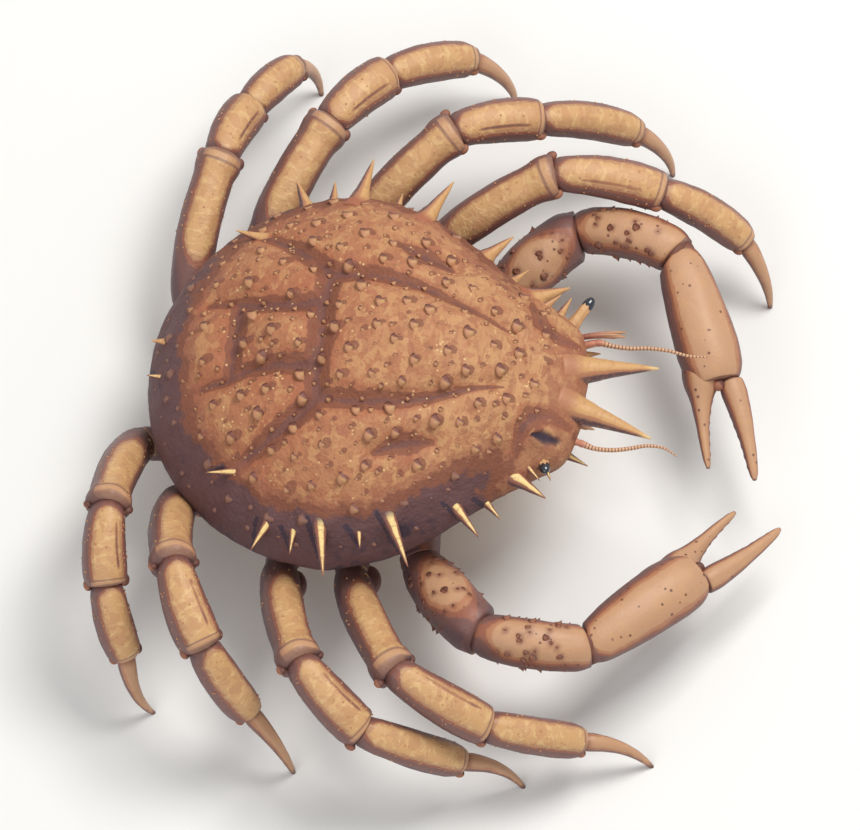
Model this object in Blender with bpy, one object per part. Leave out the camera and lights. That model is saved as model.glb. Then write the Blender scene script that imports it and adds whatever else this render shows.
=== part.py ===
"""Spiny spider crab, a still life-size model that stands with its legs arched and its claws curled in.

+X is the way the crab faces, +Y is its left and +Z is up, all in metres. The floor is at z = 0 and the
origin lies under the middle of the whole model's box. The body plan is laid out in body coordinates, whose
x = 0 is near the middle of the carapace, and STAND moves it to its place over the origin.
"""

import math
import random

import bmesh
import bpy
import numpy as np
from mathutils import Matrix, Vector

MM = 0.001
GAP = 0.3 * MM                       # room kept between pieces that touch
UP = Vector((0, 0, 1))
STAND = Vector((-34.7, -7.1, 0.0)) * MM   # body coordinates to model coordinates

# Carapace: a spiny dome with a flat underside.
HUB_X = 6 * MM                       # the outline is drawn round this point of the midline
FRONT_EDGE = [(82, 0), (82, 13), (79.5, 25), (72, 31), (61, 38), (49, 47.5), (34, 59.5), (17, 69)]   # mm
HALF_WIDTH = 73.5 * MM
REAR_LENGTH = 71.5 * MM                # from the widest line back to the rear margin
RIM_Z = 34 * MM                      # flat underside
WIDEST_Z = 51 * MM                   # height of the side edge at x = 0
EDGE_SLOPE = 0.09                    # the side edge climbs towards the front
DOME_HEIGHT = 39.5 * MM              # crown above the side edge
RIM_TUCK = 0.32                      # the flanks turn in by this share at the rim
FLANK_CURL = 2.3                     # and do so mostly low down
FRONT_TUCK = 0.05                    # and by this much more under the face
REAR_TUCK = -0.16                    # and less at the rear
DOME_FALL = 0.62                     # below 1 the dome is full at its edge
FRONT_FALL = 0.16                    # and this much less full ahead
ROW_SPREAD = 0.95                    # rows of faces a little wider apart near the crown
MERIDIANS = 64
PARALLELS = 28
FLANK_ROWS = 5
GROOVE_DEPTH = 2.6 * MM
GROOVE_WIDTH = 4.2 * MM

# Grooves between the lobes, in mm on the left half and its mirror image on the right.
GROOVES = [
    [(-10, 0), (-11, 10), (-9, 25), (5, 26), (15, 24.5), (24, 23), (32, 20.5), (40, 17), (48, 14), (56, 11)],
    [(-9, 25), (-15, 31), (-20, 35), (-26, 40), (-33, 45), (-42, 50)],   # between the gill lobes
    [(-11, 13), (-24, 12), (-35, 13), (-43, 16), (-52, 17)],             # beside the heart lobe
    [(-41, 0), (-41, 13)],                                               # behind the heart lobe
    [(13, 43), (19, 39.5), (26, 37), (33, 35)],                          # across the front gill lobe
    [(58, 28), (59, 23), (64, 17.5), (70, 14.5), (76, 15)],              # round the eye socket
]
# Swellings: x, y, length, width and height in mm.
LOBES = [
    (24, 0, 30, 20, 2.5),            # stomach
    (-25, 0, 12, 10, 3.0),           # heart
    (-53, 0, 9, 11, 2.0),            # gut
    (-38, 31, 19, 15, 2.4),          # rear gill
    (0, 46, 26, 18, 2.2),            # front gill
    (46, 30, 13, 11, 1.6),           # liver
    (69, 23, 7.5, 5.5, 2.6),         # roof of the eye socket
]

# Carapace spines of one side: root x, root y, heading, rise, length and root radius, in mm and degrees.
SPINES = [
    (77.5, 7, 13, -9, 32, 5.6),     # rostral horn
    (61.5, 35.5, 29, -3, 14, 3.6),   # behind the eye
    (71.5, 29, 66, 2, 8.5, 1.9),     # over the eye socket
    (66, 32, 46, 2, 7.5, 1.7),
    (53, 44.5, 46, 0, 8, 2.0),       # side row, front to rear
    (42.5, 50, 48, -2, 14, 2.8),
    (20, 59.5, 64, -5, 20, 3.0),
    (10, 65, 80, -6, 6.5, 1.8),
    (-4, 64, 80, -6, 20.5, 3.0),
    (-13, 66, 92, -4, 9, 1.9),
    (-22, 63, 114, -2, 12.5, 2.4),
    (-36, 47, 170, 8, 10, 2.1),      # rear of the gill lobe
    (-65.5, 7, 180, 6, 6, 2.0),        # rear margin
    (79, 20, 18, -12, 10.5, 2.3),    # beside the antenna
]
ANTENNA_SPINE = len(SPINES) - 1      # this one grows below the edge
ANTENNA_SPINE_DROP = 0.32            # share of the way down to the rim
SPINE_SINK = 4 * MM
SPINE_SET = 0.6                      # roots lie below the dome by this share of their radius
LONG_SPINE = 25                      # mm, from which a spine has more sides

TUBERCLES = 118                      # small pointed warts over the dome
TUBERCLE_SPACING = 8.6 * MM
TUBERCLE_REACH = 0.86                # share of the plan's area that they cover, from the hub out
TUBERCLE_GROOVE_ROOM = 2.5 * MM
TUBERCLE_HEIGHT = (1.5 * MM, 2.9 * MM)
TUBERCLE_STOUTNESS = 0.85            # root radius against height
TUBERCLE_LEAN = 0.7                  # they lean forward by this much against 1 outwards
TUBERCLE_SINK = 2.0 * MM

# Body under the carapace.
STERNUM_Z = 12 * MM
THORAX_CENTRE_X = 5 * MM
THORAX_HALF_LENGTH = 58 * MM
THORAX_HALF_WIDTH = 44 * MM
THORAX_SIDES = 56
THORAX_SQUARENESS = 2.3              # 2 would be an ellipse
THORAX_LEVELS = [(0.0, 0.84), (0.32, 0.97), (1.0, 1.0)]   # share of the height, then of the width
FACE_TOP_X = 56 * MM                 # the face slopes back from here to the front of the sternum
FACE_FOOT_X = 35 * MM
TAIL_TOP_X = -51 * MM                # and the rear slopes in from here
TAIL_FOOT_X = -37 * MM
SEAT = 3 * MM                        # depth of the sockets that limbs sit in

# Limbs: lengths of basis, merus, carpus, propodus and dactyl, from the front leg to the rear one.
LEG_HIPS = [(9, 42), (-13, 41), (-34, 33), (-49, 18)]
LEG_LENGTHS = [
    (21.4, 60.9, 38.1, 38.6, 30.4),
    (22.6, 60.2, 31.3, 41.8, 29.6),
    (23.3, 58.2, 30.2, 35.9, 31.7),
    (23.8, 55.0, 27.0, 27.8, 31.0),
]
LEG_THICKNESS = [0.98, 0.99, 1.03, 0.99]
HIP_Z = 26 * MM
CLAW_HIP = (30, 37)
CLAW_LENGTHS = (18.8, 42.0, 37.7, 50.5)

# Pose: heading of each piece round from +X, then its rise, in degrees. A toe falls until it meets the floor.
LEG_POSE = {
    "left": [
        ((66, 30, 2, -8, -47), (7, 28, -13, -36)),
        ((82, 48, 21, 17, -7), (7, 25, -12, -31)),
        ((104, 68, 53, 31, -1), (6, 17, -9, -22)),
        ((124, 83, 74, 58, 36), (4, 18, -17, -16)),
    ],
    "right": [
        ((-96, -67, -15, 11, 4), (2, 26, -28, -28)),
        ((-103, -76, -37, 4, 6), (2, 28, -25, -32)),
        ((-162, -86, -64, -27, -30), (4, 39, -17, -58)),
        ((-179, -98, -85, -63, -36), (2, 36, -22, -48)),
    ],
}
CLAW_POSE = {
    "left": ((34, 46, -13, -68), (0, 15, 9, -9)),
    "right": ((-88, -52, -1, 46), (0, 16, -3, -6)),
}

# Outlines of the limb pieces: place along the piece, then radius in mm.
BASIS = [(0, 6.2), (0.5, 5.5), (0.85, 6.1), (1, 5.8)]
MERUS = [(0, 5.6), (0.13, 7.0), (0.4, 7.7), (0.68, 7.6), (0.86, 7.4), (0.93, 8.5), (1, 8.0)]
CARPUS = [(0, 6.2), (0.16, 6.9), (0.45, 7.8), (0.72, 8.1), (0.9, 7.9), (1, 7.3)]
PROPODUS = [(0, 5.5), (0.14, 6.3), (0.4, 6.9), (0.7, 6.9), (0.9, 6.4), (1, 5.2)]
DACTYL = [(0, 3.3), (0.12, 3.4), (0.35, 2.7), (0.6, 2.0), (0.82, 1.4), (1, 0.85)]
CLAW_BASIS = [(0, 7.2), (0.5, 6.6), (1, 7.2)]
CLAW_MERUS = [(0, 6.8), (0.2, 9.0), (0.5, 10.3), (0.8, 10.0), (0.92, 9.8), (1, 8.4)]
CLAW_CARPUS = [(0, 7.4), (0.15, 8.4), (0.45, 8.9), (0.75, 8.6), (0.92, 8.4), (1, 7.3)]
PALM = [(0, 6.6), (0.08, 8.2), (0.25, 9.7), (0.5, 10.9), (0.75, 11.4), (0.92, 10.8), (1, 9.4)]
FIXED_FINGER = [(0, 5.2), (0.2, 4.2), (0.45, 3.0), (0.75, 1.9), (1, 0.5)]
FREE_FINGER = [(0, 4.2), (0.12, 4.5), (0.35, 3.9), (0.6, 2.9), (0.82, 1.9), (1, 0.5)]
RING_CLEARANCE = 0.5 * MM            # between the rings of a tube where a joint cuts it slantwise
LEG_SIDES = 10
TOE_SIDES = 8
CLAW_SIDES = 12
PALM_SIDES = 14
FINGER_SIDES = 9
LEG_BOW = 0.05                       # the pieces arch up and outwards by this share of their length
DACTYL_BOW = 0.11
TOE_LEAN = {                         # how far a toe arches outwards, against 1 upwards
    "left": (0.1, 0.1, 0.1, 0.2),
    "right": (-0.3, -0.3, 0.1, 1.6),
}
FINGER_BOW = 0.025
FIXED_FINGER_LENGTH = 30 * MM
FREE_FINGER_LENGTH = 37.5 * MM
FIXED_FINGER_OFFSET = 4.1 * MM       # off the palm's axis, towards the mouth
FREE_FINGER_OFFSET = 4.6 * MM        # and away from it
FIXED_FINGER_SPLAY = 15              # degrees towards the mouth
FREE_FINGER_SPLAY = 2.5
FINGER_DROP = 4                      # degrees below the palm's own fall
PALM_FLATNESS = 0.86
PALM_BOW = 0.02
FINGER_SINK = 5 * MM                 # how far the fixed finger's root lies inside the palm
CLAW_WARTS = 14                      # on each of the merus and the carpus of a claw
CLAW_WART_ROWS = 97                  # degrees round from one wart to the next
CLAW_WART_SPAN = (-35, 215)          # degrees round the limb that they grow on
CLAW_WART_HEIGHT = (1.2 * MM, 2.0 * MM)
CLAW_WART_RADIUS = 1.5 * MM
CLAW_WART_SINK = 1.6 * MM

# Face.
EYES = {                             # root and tip of each stalk, in mm
    "left": [(75, 25, 58), (82.5, 37, 62)],
    "right": [(70, -24, 58), (73, -34, 62.5)],
}
EYE_STALK = [(0, 2.3), (0.3, 2.2), (0.6, 2.0), (0.78, 2.3), (0.92, 2.0), (1, 1.0)]
ANTENNA_ROUTE = {
    "left": [(75, 20, 52.5), (80, 22, 53.5), (86, 23.5, 54.5), (91, 23, 54), (97, 23, 53.5), (104, 24, 53),
             (111, 24, 52.5), (118, 23, 52), (124.5, 23.5, 51.5)],
    "right": [(74, -15, 55), (78, -16.5, 56), (84, -18.5, 57), (89, -20, 57), (95, -20, 57),
              (101, -18.5, 56.5), (107, -16.5, 56), (113, -16.5, 55.5), (118, -19, 55)],
}
ANTENNA_RADII = [1.9, 1.9, 1.7, 1.2, 1.05, 0.95, 0.85, 0.7, 0.35]
MAXILLIPED_LENGTH = 27 * MM
MAXILLIPED_HALF_WIDTH = 8.5 * MM
MAXILLIPED_THICKNESS = 4.5 * MM
MAXILLIPED_TOP = 2.5 * MM            # below the edge of the face
MAXILLIPED_WIDEST = 0.35             # share of the way down
MAXILLIPED_TAPER = 0.35              # and by how much it is narrower elsewhere

# Tail plates.
ABDOMEN_SEGMENTS = 7
ABDOMEN_FRONT_X = 22 * MM
ABDOMEN_TIP_HALF_WIDTH = 4.5 * MM
ABDOMEN_HALF_WIDTH = 10.5 * MM
ABDOMEN_WIDE_FROM = 0.625            # share of the length at which it reaches its full width
ABDOMEN_THICKNESS = 3.2 * MM
ABDOMEN_SEAM = 0.62                  # thickness left at the seams
ABDOMEN_FOOT = 1.5 * MM              # kept short of the carapace


def clear_scene():
    for obj in list(bpy.data.objects):
        bpy.data.objects.remove(obj)


def finish(name, colour, roughness):
    """A material with one colour, made once."""
    material = bpy.data.materials.get(name)
    if material is None:
        material = bpy.data.materials.new(name)
        material.use_nodes = True
        shader = material.node_tree.nodes["Principled BSDF"]
        shader.inputs["Base Color"].default_value = (*colour, 1)
        shader.inputs["Roughness"].default_value = roughness
        shader.inputs["Metallic"].default_value = 0
    return material


def shell_finish():
    return finish("carapace shell", (0.52, 0.26, 0.11), 0.6)


def leg_finish():
    return finish("leg shell", (0.62, 0.38, 0.18), 0.5)


def toe_finish():
    return finish("dactyl shell", (0.66, 0.43, 0.22), 0.42)


def claw_finish():
    return finish("claw shell", (0.56, 0.31, 0.17), 0.45)


def underside_finish():
    return finish("underside shell", (0.66, 0.48, 0.30), 0.6)


def eye_finish():
    return finish("eye", (0.03, 0.04, 0.06), 0.2)


def antenna_finish():
    return finish("antenna", (0.55, 0.25, 0.16), 0.5)


def node(name, bm, material, collection):
    """One named piece of the crab, made from a finished shape in body coordinates."""
    mesh = bpy.data.meshes.new(name)
    bm.to_mesh(mesh)
    bm.free()
    mesh.materials.append(material)
    mesh.shade_smooth()
    obj = bpy.data.objects.new(name, mesh)
    collection.objects.link(obj)
    return obj


def largest_shell(mesh):
    """Keeps a mesh's largest closed surface and drops loose scraps and sealed hollows."""
    bm = bmesh.new()
    bm.from_mesh(mesh)
    shells = []
    seen = set()
    for start in bm.faces:
        if start in seen:
            continue
        seen.add(start)
        shell = [start]
        for face in shell:
            for edge in face.edges:
                fresh = [other for other in edge.link_faces if other not in seen]
                seen.update(fresh)
                shell.extend(fresh)
        shells.append(shell)
    keep = max(shells, key=len)
    loose = [face for shell in shells if shell is not keep for face in shell]
    bmesh.ops.delete(bm, geom=loose, context="FACES")
    bm.to_mesh(mesh)
    bm.free()


def combine(body, pieces, operation):
    """Joins closed pieces to a body or cuts them from it, and leaves one closed surface."""
    group = bpy.data.collections.new("cutters")
    bpy.context.scene.collection.children.link(group)
    for piece in pieces:
        piece.display_type = "WIRE"
        piece.hide_render = True
        for owner in list(piece.users_collection):
            owner.objects.unlink(piece)
        group.objects.link(piece)
    modifier = body.modifiers.new(operation.title(), "BOOLEAN")
    modifier.operand_type = "COLLECTION"
    modifier.collection = group
    modifier.operation = operation
    modifier.solver = "EXACT"
    depsgraph = bpy.context.evaluated_depsgraph_get()
    mesh = bpy.data.meshes.new_from_object(body.evaluated_get(depsgraph))
    body.modifiers.clear()
    body.data = mesh
    largest_shell(mesh)
    for piece in pieces:
        bpy.data.objects.remove(piece)
    bpy.data.collections.remove(group)


def direction(heading, rise):
    level = math.cos(math.radians(rise))
    turn = math.radians(heading)
    return Vector((level * math.cos(turn), level * math.sin(turn), math.sin(math.radians(rise))))


def tube(path, radii, sides, first_plane=None, last_plane=None, flatness=1.0):
    """A closed tube. A cylinder is cut into one ring for each point of the path, and each ring is carried to
    its point, square to the path there. An end ring is laid in the plane (point, normal) that it is given,
    and the rings before it are kept clear of that plane, a little more for each."""
    bm = bmesh.new()
    bmesh.ops.create_cone(bm, cap_ends=True, segments=sides, radius1=1, radius2=1, depth=1)
    last = len(path) - 1
    lengthwise = [edge for edge in bm.edges if abs(edge.verts[0].co.z - edge.verts[1].co.z) > 0.5]
    bmesh.ops.subdivide_edges(bm, edges=lengthwise, cuts=last - 1, use_grid_fill=True)
    turns = []
    for i in range(last + 1):
        along = (path[min(i + 1, last)] - path[max(i - 1, 0)]).normalized()
        across = UP.cross(along).normalized()
        turns.append((across, along.cross(across), along))
    for vert in bm.verts:
        ring = round((vert.co.z + 0.5) * last)
        across, over, along = turns[ring]
        place = path[ring] + (across * vert.co.x + over * vert.co.y * flatness) * radii[ring]
        for plane, rings_away, inward in ((first_plane, ring, 1), (last_plane, last - ring, -1)):
            if plane:
                point, normal = plane
                clear = (place - point).dot(normal) * inward
                wanted = rings_away * RING_CLEARANCE
                if rings_away == 0 or clear < wanted:
                    place += along * (inward * (wanted - clear) / along.dot(normal))
        vert.co = place
    return bm


def bowed_path(start, end, stations, bow, lean=UP):
    """Points from start to end that arch by bow times the length, towards lean."""
    span = end - start
    along = span.normalized()
    arch = (lean - along * lean.dot(along)).normalized() * span.length * bow
    return [start + span * t + arch * (4 * t * (1 - t)) for t in stations]


def shaped_tube(start, end, outline, sides, bow=0.0, lean=UP, scale=1.0, **ends):
    """A tube from start to end whose outline lists (place, radius in mm)."""
    stations = [t for t, _ in outline]
    radii = [r * MM * scale for _, r in outline]
    return tube(bowed_path(start, end, stations, bow, lean), radii, sides, **ends)


def spine(root, along, length, radius, sink, sides):
    """A pointed cone with its foot sunk below the surface it grows from."""
    bm = bmesh.new()
    full = length + sink
    tip = min(0.3 * MM, radius * 0.2)
    bmesh.ops.create_cone(bm, cap_ends=True, segments=sides, radius1=radius, radius2=tip, depth=full)
    turn = along.to_track_quat("Z", "Y").to_matrix().to_4x4()
    middle = root + along * (full / 2 - sink)
    bmesh.ops.transform(bm, matrix=Matrix.Translation(middle) @ turn, verts=bm.verts)
    return bm


def smooth_curve(points, steps):
    """Points on a Catmull-Rom curve through the given ones."""
    ends = [2 * points[0] - points[1]] + list(points) + [2 * points[-1] - points[-2]]
    curve = []
    for a, b, c, d in zip(ends, ends[1:], ends[2:], ends[3:]):
        for k in range(steps):
            t = k / steps
            curve.append(0.5 * (2 * b + (c - a) * t + (2 * a - 5 * b + 4 * c - d) * t * t
                                + (3 * b - a - 3 * c + d) * t ** 3))
    return curve + [points[-1]]


def half_outline():
    """The left edge of the carapace seen from above, from the front notch round to the rear margin."""
    front = [np.array(point) * MM for point in FRONT_EDGE]
    arc = [np.array((-REAR_LENGTH * math.sin(a), HALF_WIDTH * math.cos(a)))
           for a in np.linspace(0, math.pi / 2, 24)]
    return smooth_curve(front + [arc[0]], 6)[:-1] + arc


def outline_table():
    """For the left edge: bearing from the hub, distance from the hub and share of the way round."""
    points = np.array(half_outline())
    rays = points - np.array((HUB_X, 0))
    bearings = np.arctan2(rays[:, 1], rays[:, 0])
    reaches = np.hypot(rays[:, 0], rays[:, 1])
    steps = np.hypot(*np.diff(points, axis=0).T)
    shares = np.concatenate(([0], np.cumsum(steps))) / steps.sum()
    return bearings, reaches, shares


BEARINGS, REACHES, SHARES = outline_table()


def edge_reach(bearing):
    return float(np.interp(abs(bearing), BEARINGS, REACHES))


def edge_height(x):
    return WIDEST_Z + EDGE_SLOPE * x


def groove_distance(x, y, groove):
    """How far a point of the dome lies from a groove, in metres."""
    here = Vector((x, abs(y)))
    best = 1.0
    for a, b in zip(groove, groove[1:]):
        start = Vector(a) * MM
        span = Vector(b) * MM - start
        t = max(0.0, min(1.0, (here - start).dot(span) / span.length_squared))
        best = min(best, (here - start - span * t).length)
    return best


def relief(x, y):
    """Height that the lobes add and the grooves take away."""
    height = 0.0
    for cx, cy, length, width, rise in LOBES:
        far = ((x / MM - cx) / length) ** 2 + ((abs(y) / MM - cy) / width) ** 2
        height += rise * MM * math.exp(-far)
    near = min(groove_distance(x, y, groove) for groove in GROOVES)
    return height - GROOVE_DEPTH * math.exp(-(near / GROOVE_WIDTH) ** 2)


def dome_height(x, y):
    """Height of the carapace over a point of the plan that lies inside its edge."""
    bearing = math.atan2(y, x - HUB_X)
    share = min(1.0, math.hypot(x - HUB_X, y) / edge_reach(bearing))
    fall = DOME_FALL + FRONT_FALL * max(0.0, math.cos(bearing)) ** 2
    crown = DOME_HEIGHT * (1 - share ** 2) ** fall
    return edge_height(x) + crown + relief(x, y) * (1 - share ** 6)


def dome_normal(x, y):
    step = 1 * MM
    slope_x = (dome_height(x + step, y) - dome_height(x - step, y)) / (2 * step)
    slope_y = (dome_height(x, y + step) - dome_height(x, y - step)) / (2 * step)
    return Vector((-slope_x, -slope_y, 1)).normalized()


def flank_point(x, y, drop):
    """Point below the edge point (x, y), at a share of the way down to the rim."""
    ahead = math.cos(math.atan2(y, x - HUB_X))
    tuck = RIM_TUCK + (FRONT_TUCK if ahead > 0 else REAR_TUCK) * ahead ** 2
    inside = 1 - tuck * drop ** FLANK_CURL
    low = edge_height(x) + (RIM_Z - edge_height(x)) * drop
    return Vector((HUB_X + (x - HUB_X) * inside, y * inside, low))


def shell_point(bearing, row):
    """Point of the shell on a meridian. Rows run from the crown down to the edge and on to the rim."""
    equator = PARALLELS // 2
    reach = edge_reach(bearing)
    level = min(row, equator) / equator
    share = math.sin(level * math.pi / 2) ** ROW_SPREAD
    x = HUB_X + share * reach * math.cos(bearing)
    y = share * reach * math.sin(bearing)
    if row <= equator:
        return Vector((x, y, dome_height(x, y)))
    return flank_point(x, y, (row - equator) / FLANK_ROWS)


def carapace_shell():
    """The dome, from a sphere whose meridians are spread evenly round the outline."""
    bm = bmesh.new()
    bmesh.ops.create_uvsphere(bm, u_segments=MERIDIANS, v_segments=PARALLELS, radius=1)
    rim = PARALLELS // 2 + FLANK_ROWS
    hidden = []
    for vert in bm.verts:
        row = round(math.acos(max(-1, min(1, vert.co.z))) / math.pi * PARALLELS)
        if row > rim:
            hidden.append(vert)
            continue
        turn = math.atan2(vert.co.y, vert.co.x) if 0 < row else 0.0
        bearing = math.copysign(float(np.interp(abs(turn) / math.pi, SHARES, BEARINGS)), turn)
        vert.co = shell_point(bearing, row)
    bmesh.ops.delete(bm, geom=hidden, context="VERTS")
    bmesh.ops.holes_fill(bm, edges=[edge for edge in bm.edges if edge.is_boundary])
    return bm


def carapace_spines(collection):
    """The horns and the rows of long spines along both edges."""
    pieces = []
    for number, (x, y, heading, rise, length, radius) in enumerate(SPINES):
        for side in (1, -1):
            root = Vector((x * MM, side * y * MM, 0))
            root.z = dome_height(root.x, root.y) - radius * MM * SPINE_SET
            if number == ANTENNA_SPINE:
                root = flank_point(root.x, root.y, ANTENNA_SPINE_DROP)
            along = direction(side * heading, rise)
            sides = 8 if length > LONG_SPINE else 6
            bm = spine(root, along, length * MM, radius * MM, SPINE_SINK, sides)
            pieces.append(node("spine", bm, shell_finish(), collection))
    return pieces


def tubercle_sites():
    """Scattered places on the dome, no two closer than the spacing and none down in a groove."""
    rng = random.Random(11)
    sites = []
    while len(sites) < TUBERCLES:
        bearing = rng.uniform(-math.pi, math.pi)
        share = math.sqrt(rng.uniform(0.0, TUBERCLE_REACH))
        x = HUB_X + share * edge_reach(bearing) * math.cos(bearing)
        y = share * edge_reach(bearing) * math.sin(bearing)
        if min(groove_distance(x, y, groove) for groove in GROOVES) < TUBERCLE_GROOVE_ROOM:
            continue
        if all(math.dist((x, y), site) > TUBERCLE_SPACING for site in sites):
            sites.append((x, y))
    return sites


def tubercles(collection):
    rng = random.Random(12)
    pieces = []
    for x, y in tubercle_sites():
        height = rng.uniform(*TUBERCLE_HEIGHT)
        root = Vector((x, y, dome_height(x, y)))
        along = (dome_normal(x, y) + Vector((TUBERCLE_LEAN, 0, 0))).normalized()
        bm = spine(root, along, height, height * TUBERCLE_STOUTNESS, TUBERCLE_SINK, 5)
        pieces.append(node("tubercle", bm, shell_finish(), collection))
    return pieces


def carapace(collection):
    body = node("carapace", carapace_shell(), shell_finish(), collection)
    combine(body, carapace_spines(collection) + tubercles(collection), "UNION")
    hollows = []
    for side in ("left", "right"):
        hollows += [eye_shape(side, GAP), antenna_shape(side, GAP)]
        hollows += [merus_room(side, number) for number in range(4)]
    combine(body, [node("hollow", bm, shell_finish(), collection) for bm in hollows], "DIFFERENCE")
    return body


def mirrored(point, side):
    return Vector((point.x, point.y if side == "left" else -point.y, point.z))


def eye_shape(side, room=0.0):
    """A short stalk with the eye on its tip. With room it is the socket that the stalk sits in."""
    root, tip = (Vector(point) * MM for point in EYES[side])
    root -= (tip - root).normalized() * room
    outline = [(t, r + room / MM) for t, r in EYE_STALK]
    return shaped_tube(root, tip, outline, LEG_SIDES)


def antenna_shape(side, room=0.0):
    """A stout root and a thin wavy whip."""
    path = [Vector(point) * MM for point in ANTENNA_ROUTE[side]]
    path[0] -= (path[1] - path[0]).normalized() * room
    radii = [radius * MM + room for radius in ANTENNA_RADII]
    return tube(path, radii, 6)


def cut_flat(bm, point, normal):
    """Cuts off what lies beyond a plane and closes the cut with one flat face."""
    geom = bm.verts[:] + bm.edges[:] + bm.faces[:]
    cut = bmesh.ops.bisect_plane(bm, geom=geom, plane_co=point, plane_no=normal, clear_outer=True)
    edges = [item for item in cut["geom_cut"] if isinstance(item, bmesh.types.BMEdge)]
    bmesh.ops.holes_fill(bm, edges=edges)


def face_normal():
    return Vector((RIM_Z - STERNUM_Z, 0, FACE_FOOT_X - FACE_TOP_X)).normalized()


def tail_normal():
    return Vector((STERNUM_Z - RIM_Z, 0, TAIL_TOP_X - TAIL_FOOT_X)).normalized()


def thorax(collection):
    """The body that carries the limbs, with a flat sternum, a sloping face and a sloping rear."""
    bm = bmesh.new()
    bmesh.ops.create_cone(bm, cap_ends=True, segments=THORAX_SIDES, radius1=1, radius2=1, depth=1)
    upright = [edge for edge in bm.edges if abs(edge.verts[0].co.z - edge.verts[1].co.z) > 0.5]
    last = len(THORAX_LEVELS) - 1
    bmesh.ops.subdivide_edges(bm, edges=upright, cuts=last - 1, use_grid_fill=True)
    power = 2 / THORAX_SQUARENESS
    for vert in bm.verts:
        level, scale = THORAX_LEVELS[round((vert.co.z + 0.5) * last)]
        height = STERNUM_Z + (RIM_Z - GAP - STERNUM_Z) * level
        x = math.copysign(abs(vert.co.x) ** power, vert.co.x)
        y = math.copysign(abs(vert.co.y) ** power, vert.co.y)
        x = THORAX_CENTRE_X + x * THORAX_HALF_LENGTH * scale
        vert.co = Vector((x, y * THORAX_HALF_WIDTH * scale, height))
    cut_flat(bm, Vector((FACE_TOP_X, 0, RIM_Z)), face_normal())
    cut_flat(bm, Vector((TAIL_TOP_X, 0, RIM_Z)), tail_normal())
    body = node("thorax", bm, underside_finish(), collection)
    sockets = []
    for side in ("left", "right"):
        for number in range(4):
            joints = leg_joints(side, number)
            sockets.append(node("socket", basis_shape(joints, BASIS, LEG_THICKNESS[number], GAP),
                                underside_finish(), collection))
        sockets.append(node("socket", basis_shape(claw_joints(side), CLAW_BASIS, 1.0, GAP),
                            underside_finish(), collection))
    combine(body, sockets, "DIFFERENCE")
    return body


def plate(length_steps, width_steps):
    """A flat block cut into a grid along its length and width, to be shaped."""
    bm = bmesh.new()
    bmesh.ops.create_cube(bm, size=1)
    for axis, steps in ((0, length_steps), (1, width_steps)):
        for k in range(1, steps):
            normal = Vector((axis == 0, axis == 1, 0))
            geom = bm.verts[:] + bm.edges[:] + bm.faces[:]
            bmesh.ops.bisect_plane(bm, geom=geom, plane_co=normal * (k / steps - 0.5), plane_no=normal)
    return bm


def abdomen(collection):
    """The narrow tail, seven plates folded flat under the sternum and up the sloping rear."""
    steps = ABDOMEN_SEGMENTS * 4
    bm = plate(steps, 4)
    front = Vector((ABDOMEN_FRONT_X, 0, STERNUM_Z - GAP))
    corner = Vector((TAIL_FOOT_X - 0.2 * MM, 0, STERNUM_Z - GAP))
    top = Vector((TAIL_TOP_X, 0, RIM_Z)) + tail_normal() * GAP
    top -= (top - corner).normalized() * ABDOMEN_FOOT
    under = (corner - front).length
    total = under + (top - corner).length
    out_flat = -UP
    halfway = (out_flat + tail_normal()).normalized()
    out_bend = halfway / halfway.dot(tail_normal())
    for vert in bm.verts:
        t = vert.co.x + 0.5
        run = t * total
        if run < under:
            place = front.lerp(corner, run / under)
            out = out_flat
        else:
            place = corner.lerp(top, (run - under) / (total - under))
            out = tail_normal()
        if abs(run - under) < total / steps * 0.51:
            place = corner.copy()
            out = out_bend
        widening = min(1.0, t / ABDOMEN_WIDE_FROM) ** 0.8
        width = ABDOMEN_TIP_HALF_WIDTH + (ABDOMEN_HALF_WIDTH - ABDOMEN_TIP_HALF_WIDTH) * widening
        swell = math.sqrt(abs(math.sin(math.pi * t * ABDOMEN_SEGMENTS)))
        crown = 1 - 1.2 * vert.co.y ** 2
        thick = ABDOMEN_THICKNESS * (ABDOMEN_SEAM + (1 - ABDOMEN_SEAM) * swell) * crown
        place.y = 2 * vert.co.y * width
        vert.co = place + out * (thick if vert.co.z < 0 else 0.0)
    bmesh.ops.reverse_faces(bm, faces=bm.faces)
    return node("abdomen", bm, underside_finish(), collection)


def maxilliped(side, collection):
    """One of the two plates that close the mouth, lying on the sloping face."""
    bm = plate(8, 4)
    normal = face_normal()
    head = Vector((FACE_TOP_X, 0, RIM_Z))
    down = (Vector((FACE_FOOT_X, 0, STERNUM_Z)) - head).normalized()
    sign = 1 if side == "left" else -1
    start = head + down * MAXILLIPED_TOP + normal * GAP
    for vert in bm.verts:
        t = vert.co.x + 0.5
        width = MAXILLIPED_HALF_WIDTH * (1 - MAXILLIPED_TAPER * abs(2 * (t - MAXILLIPED_WIDEST)) ** 2.2)
        thick = MAXILLIPED_THICKNESS * (1 - 0.6 * abs(2 * t - 1) ** 3) * (1 - 1.6 * vert.co.y ** 2)
        place = start + down * (t * MAXILLIPED_LENGTH)
        place.y = sign * (MAXILLIPED_HALF_WIDTH + 2 * GAP) + 2 * vert.co.y * width
        vert.co = place + normal * (thick if vert.co.z > 0 else 0.0)
    return node(side + "_maxilliped", bm, underside_finish(), collection)


def walk(start, lengths, headings, rises):
    """Joints of a limb, from its hip outwards."""
    joints = [start]
    for length, heading, rise in zip(lengths, headings, rises):
        joints.append(joints[-1] + direction(heading, rise) * length * MM)
    return joints


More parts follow.
